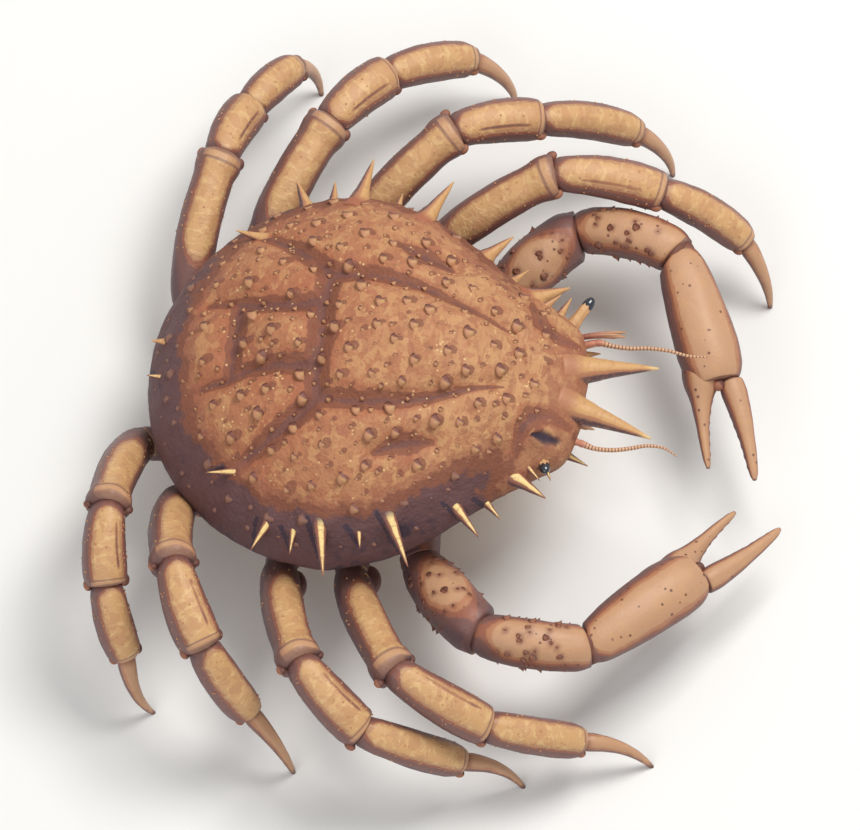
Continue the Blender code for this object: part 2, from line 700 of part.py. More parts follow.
def leg_joints(side, number):
    """The six joints of a walking leg. The last lies on the floor."""
    x, y = LEG_HIPS[number]
    headings, rises = LEG_POSE[side][number]
    lengths = LEG_LENGTHS[number]
    hip = mirrored(Vector((x * MM, y * MM, HIP_Z)), side)
    joints = walk(hip, lengths[:4], headings, rises)
    ankle = joints[-1]
    fall = -math.degrees(math.asin(ankle.z / (lengths[4] * MM)))
    return joints + [ankle + direction(headings[4], fall) * lengths[4] * MM]


def claw_joints(side):
    x, y = CLAW_HIP
    headings, rises = CLAW_POSE[side]
    hip = mirrored(Vector((x * MM, y * MM, HIP_Z)), side)
    return walk(hip, CLAW_LENGTHS, headings, rises)


def joint_normal(joints, number):
    """The plane of a joint halves the bend there."""
    before = (joints[number] - joints[number - 1]).normalized()
    if number + 1 == len(joints):
        return before
    after = (joints[number + 1] - joints[number]).normalized()
    return (before + after).normalized()


def joint_plane(joints, number, side_of_joint):
    normal = joint_normal(joints, number)
    return joints[number] + normal * (side_of_joint * GAP / 2), normal


def basis_shape(joints, outline, scale, room=0.0):
    """The first piece of a limb. With room it is the socket that the piece sits in."""
    along = (joints[1] - joints[0]).normalized()
    start = joints[0] - along * (SEAT + room)
    grown = [(t, r + room / MM) for t, r in outline]
    return shaped_tube(start, joints[1], grown, LEG_SIDES, scale=scale, last_plane=joint_plane(joints, 1, -1))


def limb_piece(joints, number, outline, sides, bow, scale=1.0, lean=UP, flatness=1.0):
    """The piece of a limb between two joints."""
    return shaped_tube(joints[number], joints[number + 1], outline, sides, bow=bow, lean=lean, scale=scale,
                       flatness=flatness, first_plane=joint_plane(joints, number, 1),
                       last_plane=joint_plane(joints, number + 1, -1))


def merus_room(side, number):
    """The room that a leg needs under the edge of the carapace, where it rises past it."""
    joints = leg_joints(side, number)
    lean = arch_lean(side, LEG_POSE[side][number][0][1])
    grown = [(t, r + GAP / MM) for t, r in MERUS]
    return shaped_tube(joints[1], joints[2], grown, LEG_SIDES, bow=LEG_BOW, lean=lean,
                       scale=LEG_THICKNESS[number])


def dactyl_shape(joints, scale, lean):
    """A curved toe whose tip is cut flat by the floor."""
    floor = (Vector((0, 0, 0)), -UP)
    return shaped_tube(joints[4], joints[5], DACTYL, TOE_SIDES, bow=DACTYL_BOW, lean=lean, scale=scale,
                       first_plane=joint_plane(joints, 4, 1), last_plane=floor)


def arch_lean(side, heading, outward=1.0):
    """Limb pieces arch upwards and away from the side that the limb curls to."""
    return UP + direction(heading + (90 if side == "left" else -90), 0) * outward


def walking_leg(side, number, collection):
    joints = leg_joints(side, number)
    headings = LEG_POSE[side][number][0]
    scale = LEG_THICKNESS[number]
    name = f"{side}_leg{number + 1}_"
    node(name + "basis", basis_shape(joints, BASIS, scale), leg_finish(), collection)
    pieces = (("merus", MERUS), ("carpus", CARPUS), ("propodus", PROPODUS))
    for step, (piece, outline) in enumerate(pieces, 1):
        bm = limb_piece(joints, step, outline, LEG_SIDES, LEG_BOW, scale, arch_lean(side, headings[step]))
        node(name + piece, bm, leg_finish(), collection)
    toe_lean = arch_lean(side, headings[4], TOE_LEAN[side][number])
    node(name + "dactyl", dactyl_shape(joints, scale, toe_lean), toe_finish(), collection)


def warts(start, end, outline, lean_to, seed, collection):
    """Pointed granules in rows along a piece of the claw arm."""
    rng = random.Random(seed)
    along = (end - start).normalized()
    across = UP.cross(along).normalized()
    over = along.cross(across)
    stations = [t for t, _ in outline]
    radii = [r for _, r in outline]
    pieces = []
    for k in range(CLAW_WARTS):
        t = 0.16 + 0.68 * (k + 0.5) / CLAW_WARTS
        first, last = CLAW_WART_SPAN
        turn = math.radians((k * CLAW_WART_ROWS) % (last - first) + first + rng.uniform(-12, 12))
        outwards = across * math.cos(turn) + over * math.sin(turn)
        radius = float(np.interp(t, stations, radii)) * MM
        root = bowed_path(start, end, [t], LEG_BOW, lean_to)[0] + outwards * radius
        height = rng.uniform(*CLAW_WART_HEIGHT)
        lean = (outwards + along * 0.5).normalized()
        bm = spine(root, lean, height, CLAW_WART_RADIUS, CLAW_WART_SINK, 5)
        pieces.append(node("wart", bm, claw_finish(), collection))
    return pieces


def claw_arm(side, collection):
    """Basis, merus and carpus of a claw."""
    joints = claw_joints(side)
    node(side + "_claw_basis", basis_shape(joints, CLAW_BASIS, 1.0), leg_finish(), collection)
    for step, (piece, outline) in enumerate((("merus", CLAW_MERUS), ("carpus", CLAW_CARPUS)), 1):
        lean_to = arch_lean(side, CLAW_POSE[side][0][step])
        bm = limb_piece(joints, step, outline, CLAW_SIDES, LEG_BOW, lean=lean_to)
        body = node(f"{side}_claw_{piece}", bm, claw_finish(), collection)
        seed = 20 + step + (10 if side == "left" else 0)
        combine(body, warts(joints[step], joints[step + 1], outline, lean_to, seed, collection), "UNION")


def claw_hand(side, collection):
    """The palm with its fixed finger, and the free finger beside it."""
    joints = claw_joints(side)
    headings, rises = CLAW_POSE[side]
    palm_end = joints[4]
    inward = -1 if side == "left" else 1          # turn that brings a finger towards the mouth
    palm_axis = direction(headings[3], rises[3])
    sideways = direction(headings[3] + 90 * inward, 0)
    end_plane = (palm_end + palm_axis * (GAP / 2), palm_axis)
    bm = limb_piece(joints, 3, PALM, PALM_SIDES, PALM_BOW, flatness=PALM_FLATNESS)
    palm = node(side + "_claw_palm", bm, claw_finish(), collection)
    fixed_axis = direction(headings[3] + FIXED_FINGER_SPLAY * inward, rises[3] - FINGER_DROP)
    root = palm_end + sideways * FIXED_FINGER_OFFSET
    bm = shaped_tube(root - palm_axis * FINGER_SINK, root + fixed_axis * FIXED_FINGER_LENGTH, FIXED_FINGER,
                     FINGER_SIDES, bow=FINGER_BOW, lean=sideways)
    combine(palm, [node("finger", bm, claw_finish(), collection)], "UNION")
    free_axis = direction(headings[3] + FREE_FINGER_SPLAY * inward, rises[3] - FINGER_DROP)
    root = palm_end - sideways * FREE_FINGER_OFFSET
    bm = shaped_tube(root, root + free_axis * FREE_FINGER_LENGTH, FREE_FINGER, FINGER_SIDES, bow=FINGER_BOW,
                     lean=-sideways, first_plane=end_plane)
    node(side + "_claw_finger", bm, claw_finish(), collection)


def stand_in_place(collection):
    """Moves the finished meshes to their place over the origin."""
    for obj in collection.objects:
        obj.data.transform(Matrix.Translation(STAND))


def main():
    clear_scene()
    crab = bpy.data.collections.new("spider_crab")
    bpy.context.scene.collection.children.link(crab)
    carapace(crab)
    thorax(crab)
    abdomen(crab)
    for side in ("left", "right"):
        node(side + "_eye", eye_shape(side), eye_finish(), crab)
        node(side + "_antenna", antenna_shape(side), antenna_finish(), crab)
        maxilliped(side, crab)
        claw_arm(side, crab)
        claw_hand(side, crab)
        for number in range(4):
            walking_leg(side, number, crab)
    stand_in_place(crab)


main()
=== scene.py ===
"""Looks of the spiny spider crab: shell plates, horns and warts, limbs, eyes, feelers and mouth plates.

The body plan repeats the solids' sizes in body coordinates, in mm. STAND moves it over the origin.
"""

import math
import random

import bmesh
import bpy
import numpy as np
from mathutils import Matrix, Vector, noise


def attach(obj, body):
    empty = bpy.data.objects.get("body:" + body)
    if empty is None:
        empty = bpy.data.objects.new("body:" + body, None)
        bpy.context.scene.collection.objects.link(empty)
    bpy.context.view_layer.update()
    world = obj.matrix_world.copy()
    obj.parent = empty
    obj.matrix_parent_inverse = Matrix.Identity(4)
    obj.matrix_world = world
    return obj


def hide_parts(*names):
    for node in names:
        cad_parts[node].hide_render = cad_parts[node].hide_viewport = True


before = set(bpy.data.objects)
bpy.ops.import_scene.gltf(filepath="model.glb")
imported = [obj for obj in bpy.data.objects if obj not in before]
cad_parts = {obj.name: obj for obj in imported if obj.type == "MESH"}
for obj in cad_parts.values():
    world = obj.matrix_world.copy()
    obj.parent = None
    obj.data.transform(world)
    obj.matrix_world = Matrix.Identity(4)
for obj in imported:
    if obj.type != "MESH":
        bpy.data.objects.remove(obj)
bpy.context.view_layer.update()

BODY = "root"
MM = 0.001
GAP = 0.3 * MM
STAND = Vector((-34.7, -7.1, 0.0)) * MM
UP = Vector((0, 0, 1))

# Carapace, as in the solids, but for the last groove, which runs nearer to the eye.
HUB_X = 6 * MM
FRONT_EDGE = [(82, 0), (82, 13), (79.5, 25), (72, 31), (61, 38), (49, 47.5), (34, 59.5), (17, 69)]   # mm
HALF_WIDTH = 73.5 * MM
REAR_LENGTH = 71.5 * MM
RIM_Z = 34 * MM
WIDEST_Z = 51 * MM
EDGE_SLOPE = 0.09
DOME_HEIGHT = 39.5 * MM
DOME_FALL = (0.62, 0.16)                             # how round the dome is all over, and how much flatter in front
DOME_ROW_SPREAD = 0.95
RIM_TUCK = 0.32
FLANK_CURL = 2.3
FRONT_TUCK = 0.05
REAR_TUCK = -0.16
RIM_INSETS = [(2.5 * MM, 0.8 * MM), (6 * MM, 0)]      # steps in from the rim under the shell
GROOVE_DEPTH = 2.6 * MM
GROOVE_WIDTH = 3.6 * MM
GROOVES = [
    [(-10, 0), (-11, 10), (-9, 25), (5, 26), (15, 24.5), (24, 23), (32, 20.5), (40, 17), (48, 14), (56, 11)],
    [(-9, 25), (-15, 31), (-20, 35), (-26, 40), (-33, 45), (-42, 50)],
    [(-11, 13), (-24, 12), (-35, 13), (-43, 16), (-52, 17)],
    [(-41, 0), (-41, 13)],
    [(13, 43), (19, 39.5), (26, 37), (33, 35)],
    [(62, 30), (63.5, 24), (67, 18.5), (72.5, 15.5), (78, 16)],
]
# How wide the painted shade in each groove is at its start, middle and end.
GROOVE_SHARES = [(1.3, 0.8, 0.1), (1.2, 0.9, 0.3), (1.1, 0.9, 0.3), (0.8, 0.8, 0.8), (0.25, 1.0, 0.25),
                 (0.3, 0.8, 0.4)]
VALLEY_DEPTH = 0.9 * MM
VALLEY_WIDTH = 8 * MM
RIM_FADE = 6
# Lobes: x, y, half length, half width and rise in mm.
LOBES = [
    (24, 0, 30, 20, 2.5),
    (-25, 0, 12, 10, 3.0),
    (-53, 0, 9, 11, 2.0),
    (-38, 31, 19, 15, 2.4),
    (0, 46, 26, 18, 2.2),
    (46, 30, 13, 11, 1.6),
    (69, 23, 7.5, 5.5, 2.6),
]
EYE_SLIT = [(67.5, 24.5), (71.5, 24), (76.5, 22.6)]
EYE_SLIT_SHARES = (0.15, 0.55, 0.25)
EYE_SLIT_DEPTH = 1.5 * MM
EYE_SLIT_CLEAR = 5 * MM
# Spines: x, y, heading, rise, length and radius, in mm and degrees.
SPINES = [
    (77.5, 7, 13, -9, 32, 5.6),
    (61.5, 35.5, 29, -3, 14, 3.6),
    (71.5, 29, 66, 2, 8.5, 1.9),
    (66, 32, 46, 2, 7.5, 1.7),
    (53, 44.5, 46, 0, 8, 2.0),
    (42.5, 50, 48, -2, 14, 2.8),
    (20, 59.5, 64, -5, 20, 3.0),
    (10, 65, 80, -6, 6.5, 1.8),
    (-4, 64, 80, -6, 20.5, 3.0),
    (-13, 66, 92, -4, 9, 1.9),
    (-22, 63, 114, -2, 12.5, 2.4),
    (-36, 47, 170, 8, 10, 2.1),
    (-65.5, 7, 180, 6, 6, 2.0),
    (79, 20, 18, -12, 10.5, 2.3),
]
ANTENNA_SPINE = len(SPINES) - 1
HORN_RADIUS = 5 * MM
ANTENNA_SPINE_DROP = 0.32
SPINE_SINK = 3.5 * MM
SPINE_RINGS = 28
SPINE_TAPER = [(0, 1.36), (0.1, 1.16), (0.22, 0.92), (0.5, 0.58), (0.8, 0.28), (1, 0.06)]
FAR_SPINE_FLARE = [(0, 0.5), (0.15, 0.4), (0.4, 0.15), (1, 0.02)]
# In root radii: height and width of the swelling at a spine's root, and how far out warts leave no painted shadow.
SPINE_MOUND = (0.45, 1.7)
SPINE_CLEARING = 2.2
TUBERCLES = 118
TUBERCLE_SPACING = 8.6 * MM
TUBERCLE_HEIGHT = (1.5 * MM, 2.9 * MM)
TUBERCLE_LEAN = 0.7
TUBERCLE_MOUND = (0.7 * MM, 2.4 * MM)
SMALL_WARTS = 260
SMALL_WART_SPACING = 4.6 * MM
SMALL_WART_HEIGHT = (0.5 * MM, 1.4 * MM)
WART_SINK = 0.5 * MM
# The painted shadow beside a wart: where its middle lies from the wart, its reach, and the least strength of a
# shadow.
TUBERCLE_SHADOW = (0.9 * MM, 0.9 * MM, 2.2 * MM, 0.45)
SMALL_WART_SHADOW = (0.5 * MM, 0.7 * MM, 1.2 * MM, 0.3)
SHADOW_CHANGE = 900
WART_SHADE = Vector((0.5, 0.85, 0)).normalized()     # the side of a wart that takes painted shade
FINE_PEBBLES = (2.6 * MM, 0.22 * MM)                 # size and height
COARSE_PEBBLES = (9 * MM, 0.35 * MM)
# Directions of the painted light on limbs, horns and spines: the painted highlight band lies on the side that faces
# each way, and painted shade lies opposite.
LIT_SIDE = Vector((0.24, -0.28, 0.93)).normalized()
LIT_SIDES = {"horn": Vector((0, 0.4, 0.92)).normalized(), "far_spine": Vector((0.7, -0.1, 0.7)).normalized(),
          "near_spine": LIT_SIDE}
# Across and up in the drawing, then the dark streak beside a near spine: how far left and above the root it
# starts, its widths at both ends in mm, and the x that spines with one stay behind.
ACROSS = np.array((0.995, 0.105, 0))
UPWARDS = np.array((-0.092, 0.878, 0.469))
SPINE_SHADOW_START = (4.2 * MM, 1.5 * MM)
SPINE_SHADOW_WIDTHS = (1.5, 0.5)
SPINE_SHADOW_FRONT = 56 * MM
# Hip lobes under the carapace rim; their dusk colour is partly painted shade.
HIP_LOBES = [(-49, -37.5, 22), (-12.5, -67, 22), (13.5, -62.5, 22)]
HIP_LOBE_LEAN = Vector((0.1, -1, 0.2)).normalized()
HIP_LOBE_SIZE = (4.2 * MM, 6 * MM)

# Body under the carapace.
STERNUM_Z = 12 * MM
THORAX_CENTRE_X = 5 * MM
THORAX_HALF_LENGTH = 58 * MM
THORAX_HALF_WIDTH = 44 * MM
FACE_TOP_X = 56 * MM
FACE_FOOT_X = 35 * MM
TAIL_TOP_X = -51 * MM
TAIL_FOOT_X = -37 * MM
SEAT = 3 * MM

# Limbs: hips and lengths in mm, headings and rises in degrees.
LEG_HIPS = [(9, 42), (-13, 41), (-34, 33), (-49, 18)]
LEG_LENGTHS = [
    (21.4, 60.9, 38.1, 38.6, 30.4),
    (22.6, 60.2, 31.3, 41.8, 29.6),
    (23.3, 58.2, 30.2, 35.9, 31.7),
    (23.8, 55.0, 27.0, 27.8, 31.0),
]
LEG_THICKNESS = [0.98, 0.99, 1.03, 0.99]
HIP_Z = 26 * MM
CLAW_HIP = (30, 37)
CLAW_LENGTHS = (18.8, 42.0, 37.7, 50.5)
LEG_POSE = {
    "left": [
        ((66, 30, 2, -8, -47), (7, 28, -13, -36)),
        ((82, 48, 21, 17, -7), (7, 25, -12, -31)),
        ((104, 68, 53, 31, -1), (6, 17, -9, -22)),
        ((124, 83, 74, 58, 36), (4, 18, -17, -16)),
    ],
    "right": [
        ((-96, -67, -15, 11, 4), (2, 26, -28, -28)),
        ((-103, -76, -37, 4, 6), (2, 28, -25, -32)),
        ((-162, -86, -64, -27, -30), (4, 39, -17, -58)),
        ((-179, -98, -85, -63, -36), (2, 36, -22, -48)),
    ],
}
CLAW_POSE = {
    "left": ((34, 46, -13, -68), (0, 15, 9, -9)),
    "right": ((-88, -52, -1, 46), (0, 16, -3, -6)),
}
# Radius in mm of each limb piece at shares of its length.
BASIS = [(0, 6.2), (0.5, 5.5), (0.85, 6.1), (1, 5.8)]
MERUS = [(0, 5.6), (0.13, 7.0), (0.4, 7.7), (0.68, 7.6), (0.86, 7.4), (0.93, 8.5), (1, 8.0)]
CARPUS = [(0, 6.2), (0.16, 6.9), (0.45, 7.8), (0.72, 8.1), (0.9, 7.9), (1, 7.3)]
PROPODUS = [(0, 5.5), (0.14, 6.3), (0.4, 6.9), (0.7, 6.9), (0.9, 6.4), (1, 5.2)]
DACTYL = [(0, 3.3), (0.12, 3.4), (0.35, 2.7), (0.6, 2.0), (0.82, 1.4), (1, 0.85)]
CLAW_BASIS = [(0, 7.2), (0.5, 6.6), (1, 7.2)]
CLAW_MERUS = [(0, 6.8), (0.2, 9.0), (0.5, 10.3), (0.8, 10.0), (0.92, 9.8), (1, 8.4)]
CLAW_CARPUS = [(0, 7.4), (0.15, 8.4), (0.45, 8.9), (0.75, 8.6), (0.92, 8.4), (1, 7.3)]
PALM = [(0, 6.6), (0.08, 8.2), (0.25, 9.7), (0.5, 10.9), (0.75, 11.4), (0.88, 10.8), (0.96, 9.4), (1, 7.5)]
FIXED_FINGER = [(0, 7.0), (0.1, 6.8), (0.19, 6.0), (0.27, 4.7), (0.36, 3.7), (0.56, 2.4), (0.76, 1.8), (0.93, 1.3),
                (1, 0.6)]
FREE_FINGER = [(0, 4.4), (0.12, 4.7), (0.35, 3.9), (0.6, 2.8), (0.82, 2.1), (0.95, 1.5), (1, 0.6)]
# Shares of the radius at the very ends of a piece, and the lengths that short pieces are taken to have there.
SHOULDER = 0.86
LIP = 0.9
BASIS_LENGTH = 22 * MM
TOE_LENGTH = 30 * MM
FIXED_FINGER_SPAN = 36 * MM
FREE_FINGER_SPAN = 37 * MM
RING_CLEARANCE = 0.12 * MM
LEG_BOW = 0.05
CLAW_CARPUS_BOW = 0.09
PALM_BOW = 0.02
DACTYL_BOW = 0.11
TOE_LEAN = {"left": (0.1, 0.1, 0.1, 0.2), "right": (-0.3, -0.3, 0.1, 1.6)}
GRANULES = 40
GRANULE_SIZE = (0.24, 0.44)                           # mm
CONDYLE_SIZE = (1.8 * MM, 1.5 * MM, 2.3 * MM)
CONDYLE_SETBACK = 0.6 * MM
CONDYLE_SINK = 0.12
FINGER_BOW = 0.025
FIXED_FINGER_LENGTH = 30 * MM
FIXED_FINGER_SINK = 7 * MM
FREE_FINGER_LENGTH = 37.5 * MM
FIXED_FINGER_OFFSET = 4.1 * MM
FREE_FINGER_OFFSET = 4.6 * MM
FIXED_FINGER_SPLAY = 15
FREE_FINGER_SPLAY = 2.5
FINGER_DROP = 4
PALM_FLATNESS = 0.86
CLAW_WARTS = 14
SMALL_ARM_WART = 0.7
CLAW_TEETH = (60, 0.25 * MM)                          # waves and height
CLAW_KNOB = (1.6 * MM, 0.2 * MM, 2.5 * MM)            # along, inwards and up from the end of the palm
CLAW_KNOB_RADIUS = 2.3 * MM
LEG_SKINS = (4.9, 5.9, 5.2, 3.1)                      # mm
CLAW_SKINS = (6.6, 7.2, 6.6, 0)

EYES = {
    "left": [(75, 25, 58), (82.5, 37, 62)],
    "right": [(70, -24, 58), (73, -34, 62.5)],
}
EYE_STALK = [(0, 3.2), (0.25, 2.5), (0.55, 2.0), (0.8, 2.0), (1, 1.7)]
EYE_STALK_SHARE = 0.82
EYE_SIZE = (2.1 * MM, 1.9 * MM, 3.5 * MM)
EYE_SETBACK = 3.1 * MM
ANTENNA_ROUTE = {
    "left": [(75, 20, 52.5), (80, 22, 53.5), (86, 23.5, 54.5), (91, 23, 54), (97, 23, 53.5), (104, 24, 53),
             (111, 24, 52.5), (118, 23, 52), (124.5, 23.5, 51.5)],
    "right": [(74, -15, 55), (78, -16.5, 56), (84, -18.5, 57), (89, -20, 57), (95, -20, 57), (101, -18.5, 56.5),
              (107, -16.5, 56), (113, -16.5, 55.5), (118, -19, 55)],
}
ANTENNA_RADII = [1.45, 1.45, 1.3, 0.85, 0.8, 0.75, 0.65, 0.5, 0.25]
ANTENNA_ROOT = 0.26
WHIP_BEADS = 40
WHIP_STEPS = 24
WHIP_RINGS = WHIP_STEPS * (len(ANTENNA_RADII) - 1)
ANTENNULES = {"left": [(79, 24.5, 55.5), (93.5, 27.5, 55)], "right": [(76, -6, 47), (86, -5, 45)]}
BRISTLES = 9
BRISTLE_SPREAD = 1.2 * MM
BRISTLE_RINGS = 12
BRISTLE_TAPER = [(0, 0.75), (0.7, 0.6), (0.95, 0.45), (1, 0.1)]
EPISTOME_CENTRE = Vector((50, 0, 36)) * MM
EPISTOME_SIZE = (19 * MM, 32 * MM, 8 * MM)
STERNUM_SEAMS = (-41, -24, -2, 20, 36)
# Shares of a ball, from pole to pole, that become the flat top of the thorax and its wall.
STERNUM_TOP = 0.36
STERNUM_WALL = 0.28
STERNUM_SQUARENESS = 2.3
MAXILLIPED_LENGTH = 27 * MM
MAXILLIPED_HALF_WIDTH = 8.5 * MM
MAXILLIPED_THICKNESS = 4.5 * MM
ABDOMEN_THICKNESS = 3.2 * MM
ABDOMEN_SEGMENTS = 7
ABDOMEN_FRONT = 22 * MM

# Fineness of the meshes.
SHELL_COLUMNS = 480
SHELL_ROWS = 200
SHELL_FLANK_ROWS = 30
LIMB_SIDES = 40
LIMB_RINGS = 56

# The picture's view, as an orthographic scale and a direction, kept with a long lens.
VIEW_AZIMUTH = 6.0
VIEW_ELEVATION = 62.0
MM_PER_PIXEL = 0.353
IMAGE_WIDTH = 860
VIEW_CENTRE = Vector((29.7, -12.2, 56.0)) * MM
CAMERA_DISTANCE = 6.0
SENSOR_WIDTH = 36.0

# Studio: each lamp's place, power, size and colour.
LAMPS = {
    "key": ((0.35, 0.4, 1.2), 11.5, 0.6, (1.0, 0.98, 0.95)),
    "fill": ((-0.4, -0.9, 0.9), 4, 0.9, (0.96, 0.98, 1.0)),
}
FLOOR_SIZE = 60
FLOOR_COLOUR = (0.9, 0.9, 0.89, 1)
SKY_COLOUR = (1.0, 0.99, 0.97, 1)
SKY_STRENGTH = 0.47


def deselect():
    """Leaves edit mode, with nothing selected."""
    if bpy.context.object and bpy.context.object.mode != "OBJECT":
        bpy.ops.object.mode_set(mode="OBJECT")
    bpy.ops.object.select_all(action="DESELECT")


def smooth_step(value, low, high):
    """0 below low, 1 above high, smooth between."""
    t = np.clip((value - low) / (high - low), 0, 1)
    return t * t * (3 - 2 * t)


def coordinates(mesh):
    flat = np.empty(len(mesh.vertices) * 3)
    mesh.vertices.foreach_get("co", flat)
    return flat.reshape(-1, 3)


def set_coordinates(mesh, points):
    mesh.vertices.foreach_set("co", np.asarray(points, dtype=float).ravel())
    mesh.update()


def store(mesh, name, values):
    """A value for each vertex, which the materials read as an attribute."""
    values = np.asarray(values, dtype=float)
    kind = "FLOAT_VECTOR" if values.ndim == 2 else "FLOAT"
    layer = mesh.attributes.new(name, kind, "POINT")
    layer.data.foreach_set("vector" if values.ndim == 2 else "value", values.ravel())


def grain(points, scale, seed=0.0):
    """Smooth noise from -1 to 1 at each point."""
    shift = Vector((seed * 7.3, seed * 3.1, seed * 5.7))
    return np.array([noise.noise(Vector(p) / scale + shift) for p in points])


# Blanks that the pieces are shaped from.

def tube_blank(sides, rings):
    """A cylinder with its long edges cut into rings."""
    deselect()
    bpy.ops.mesh.primitive_cylinder_add(vertices=sides, radius=1, depth=1, location=(0, 0, 0))
    obj = bpy.context.object
    bpy.ops.object.mode_set(mode="EDIT")
    bpy.ops.mesh.select_mode(type="EDGE")
    bpy.ops.mesh.select_all(action="DESELECT")
    bm = bmesh.from_edit_mesh(obj.data)
    for edge in bm.edges:
        edge.select_set(abs(edge.verts[0].co.z - edge.verts[1].co.z) > 0.5)
    bmesh.update_edit_mesh(obj.data)
    bpy.ops.mesh.subdivide(number_cuts=rings - 1)
    bpy.ops.mesh.select_mode(type="VERT")
    bpy.ops.object.mode_set(mode="OBJECT")
    mesh = obj.data
    bpy.data.objects.remove(obj)
    return mesh


def wart_blank(sides, rings):
    """A small pointed wart with a flared foot, one unit high and one unit in radius."""
    mesh = tube_blank(sides, rings)
    points = coordinates(mesh)
    height = points[:, 2] + 0.5
    taper = 0.76 * (1 - height) ** 1.15 + 0.24 * np.exp(-height / 0.1) + 0.05
    points[:, 0] *= taper
    points[:, 1] *= taper
    points[:, 2] = height
    set_coordinates(mesh, points)
    return mesh


def bead_blank(fineness):
    """A round bead of unit radius."""
    deselect()
    bpy.ops.mesh.primitive_ico_sphere_add(subdivisions=fineness, radius=1, location=(0, 0, 0))
    obj = bpy.context.object
    mesh = obj.data
    bpy.data.objects.remove(obj)
    return mesh


def scatter(name, blank, placements, values=()):
    """Copies of a blank joined in one mesh. values are (attribute, one value for each copy)."""
    shape = coordinates(blank)
    faces = [tuple(face.vertices) for face in blank.polygons]
    points = []
    all_faces = []
    for count, matrix in enumerate(placements):
        turn = np.array(matrix.to_3x3())
        points.append(shape @ turn.T + np.array(matrix.translation))
        start = count * len(shape)
        all_faces += [tuple(start + corner for corner in face) for face in faces]
    mesh = bpy.data.meshes.new(name)
    mesh.from_pydata(np.concatenate(points).tolist(), [], all_faces)
    heights = shape[:, 2] - shape[:, 2].min()
    store(mesh, "tip", np.tile(heights / heights.max(), len(placements)))
    # shade: how far each place faces WART_SHADE, the side that the materials paint in shade.
    shades = []
    for matrix in placements:
        spokes = (shape * (1, 1, 0)) @ np.array(matrix.to_3x3()).T
        shades.append(spokes @ np.array(WART_SHADE) / np.linalg.norm(spokes, axis=1).max())
    store(mesh, "shade", np.concatenate(shades))
    for attribute, per_copy in values:
        store(mesh, attribute, np.repeat(per_copy, len(shape)))
    obj = bpy.data.objects.new(name, mesh)
    bpy.context.scene.collection.objects.link(obj)
    return obj


def pointed(along):
    """Turns a shape's own upright to point along a direction."""
    return along.to_track_quat("Z", "Y").to_matrix().to_4x4()


def sized(*size):
    """Stretches a unit shape along its three axes."""
    return Matrix.Diagonal((*size, 1))


def stand(root, along, radius, height):
    """Stands a unit shape at a root, pointing along a direction."""
    return Matrix.Translation(root) @ pointed(along) @ sized(radius, radius, height)


def finish_piece(obj, material, replaced=()):
    """Places a shaped piece over the origin, smooths it and hands it to the frame."""
    obj.data.transform(Matrix.Translation(STAND))
    obj.data.shade_smooth()
    obj.data.materials.clear()
    obj.data.materials.append(material)
    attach(obj, BODY)
    if replaced:
        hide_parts(*replaced)
    return obj


def join(pieces, name):
    """Makes one mesh of several."""
    deselect()
    for piece in pieces:
        piece.select_set(True)
    bpy.context.view_layer.objects.active = pieces[0]
    bpy.ops.object.join()
    pieces[0].name = name
    return pieces[0]


# Tubes along a path.

def direction(heading, rise):
    """A direction from a heading in the plan and a rise above level, in degrees."""
    level = math.cos(math.radians(rise))
    turn = math.radians(heading)
    return Vector((level * math.cos(turn), level * math.sin(turn), math.sin(math.radians(rise))))


def outline_radii(outline, stations, blur=0.03):
    """Radii in metres from a coarse outline in mm, with its corners rounded."""
    fine = np.linspace(0, 1, 401)
    radii = np.interp(fine, [t for t, _ in outline], [r for _, r in outline])
    reach = int(blur * 400 * 2)
    weights = np.exp(-(np.arange(-reach, reach + 1) / (blur * 400)) ** 2)
    padded = np.concatenate((np.full(reach, radii[0]), radii, np.full(reach, radii[-1])))
    smooth = np.convolve(padded, weights / weights.sum(), "valid")
    return np.interp(stations, fine, smooth) * MM


def bowed_path(start, end, stations, bow, lean):
    """A line from start to end that arches towards lean by a share of its length."""
    span = end - start
    along = span.normalized()
    arch = (lean - along * lean.dot(along)).normalized() * span.length * bow
    t = np.asarray(stations)[:, None]
    return np.array(start) + np.array(span) * t + np.array(arch) * (4 * t * (1 - t))


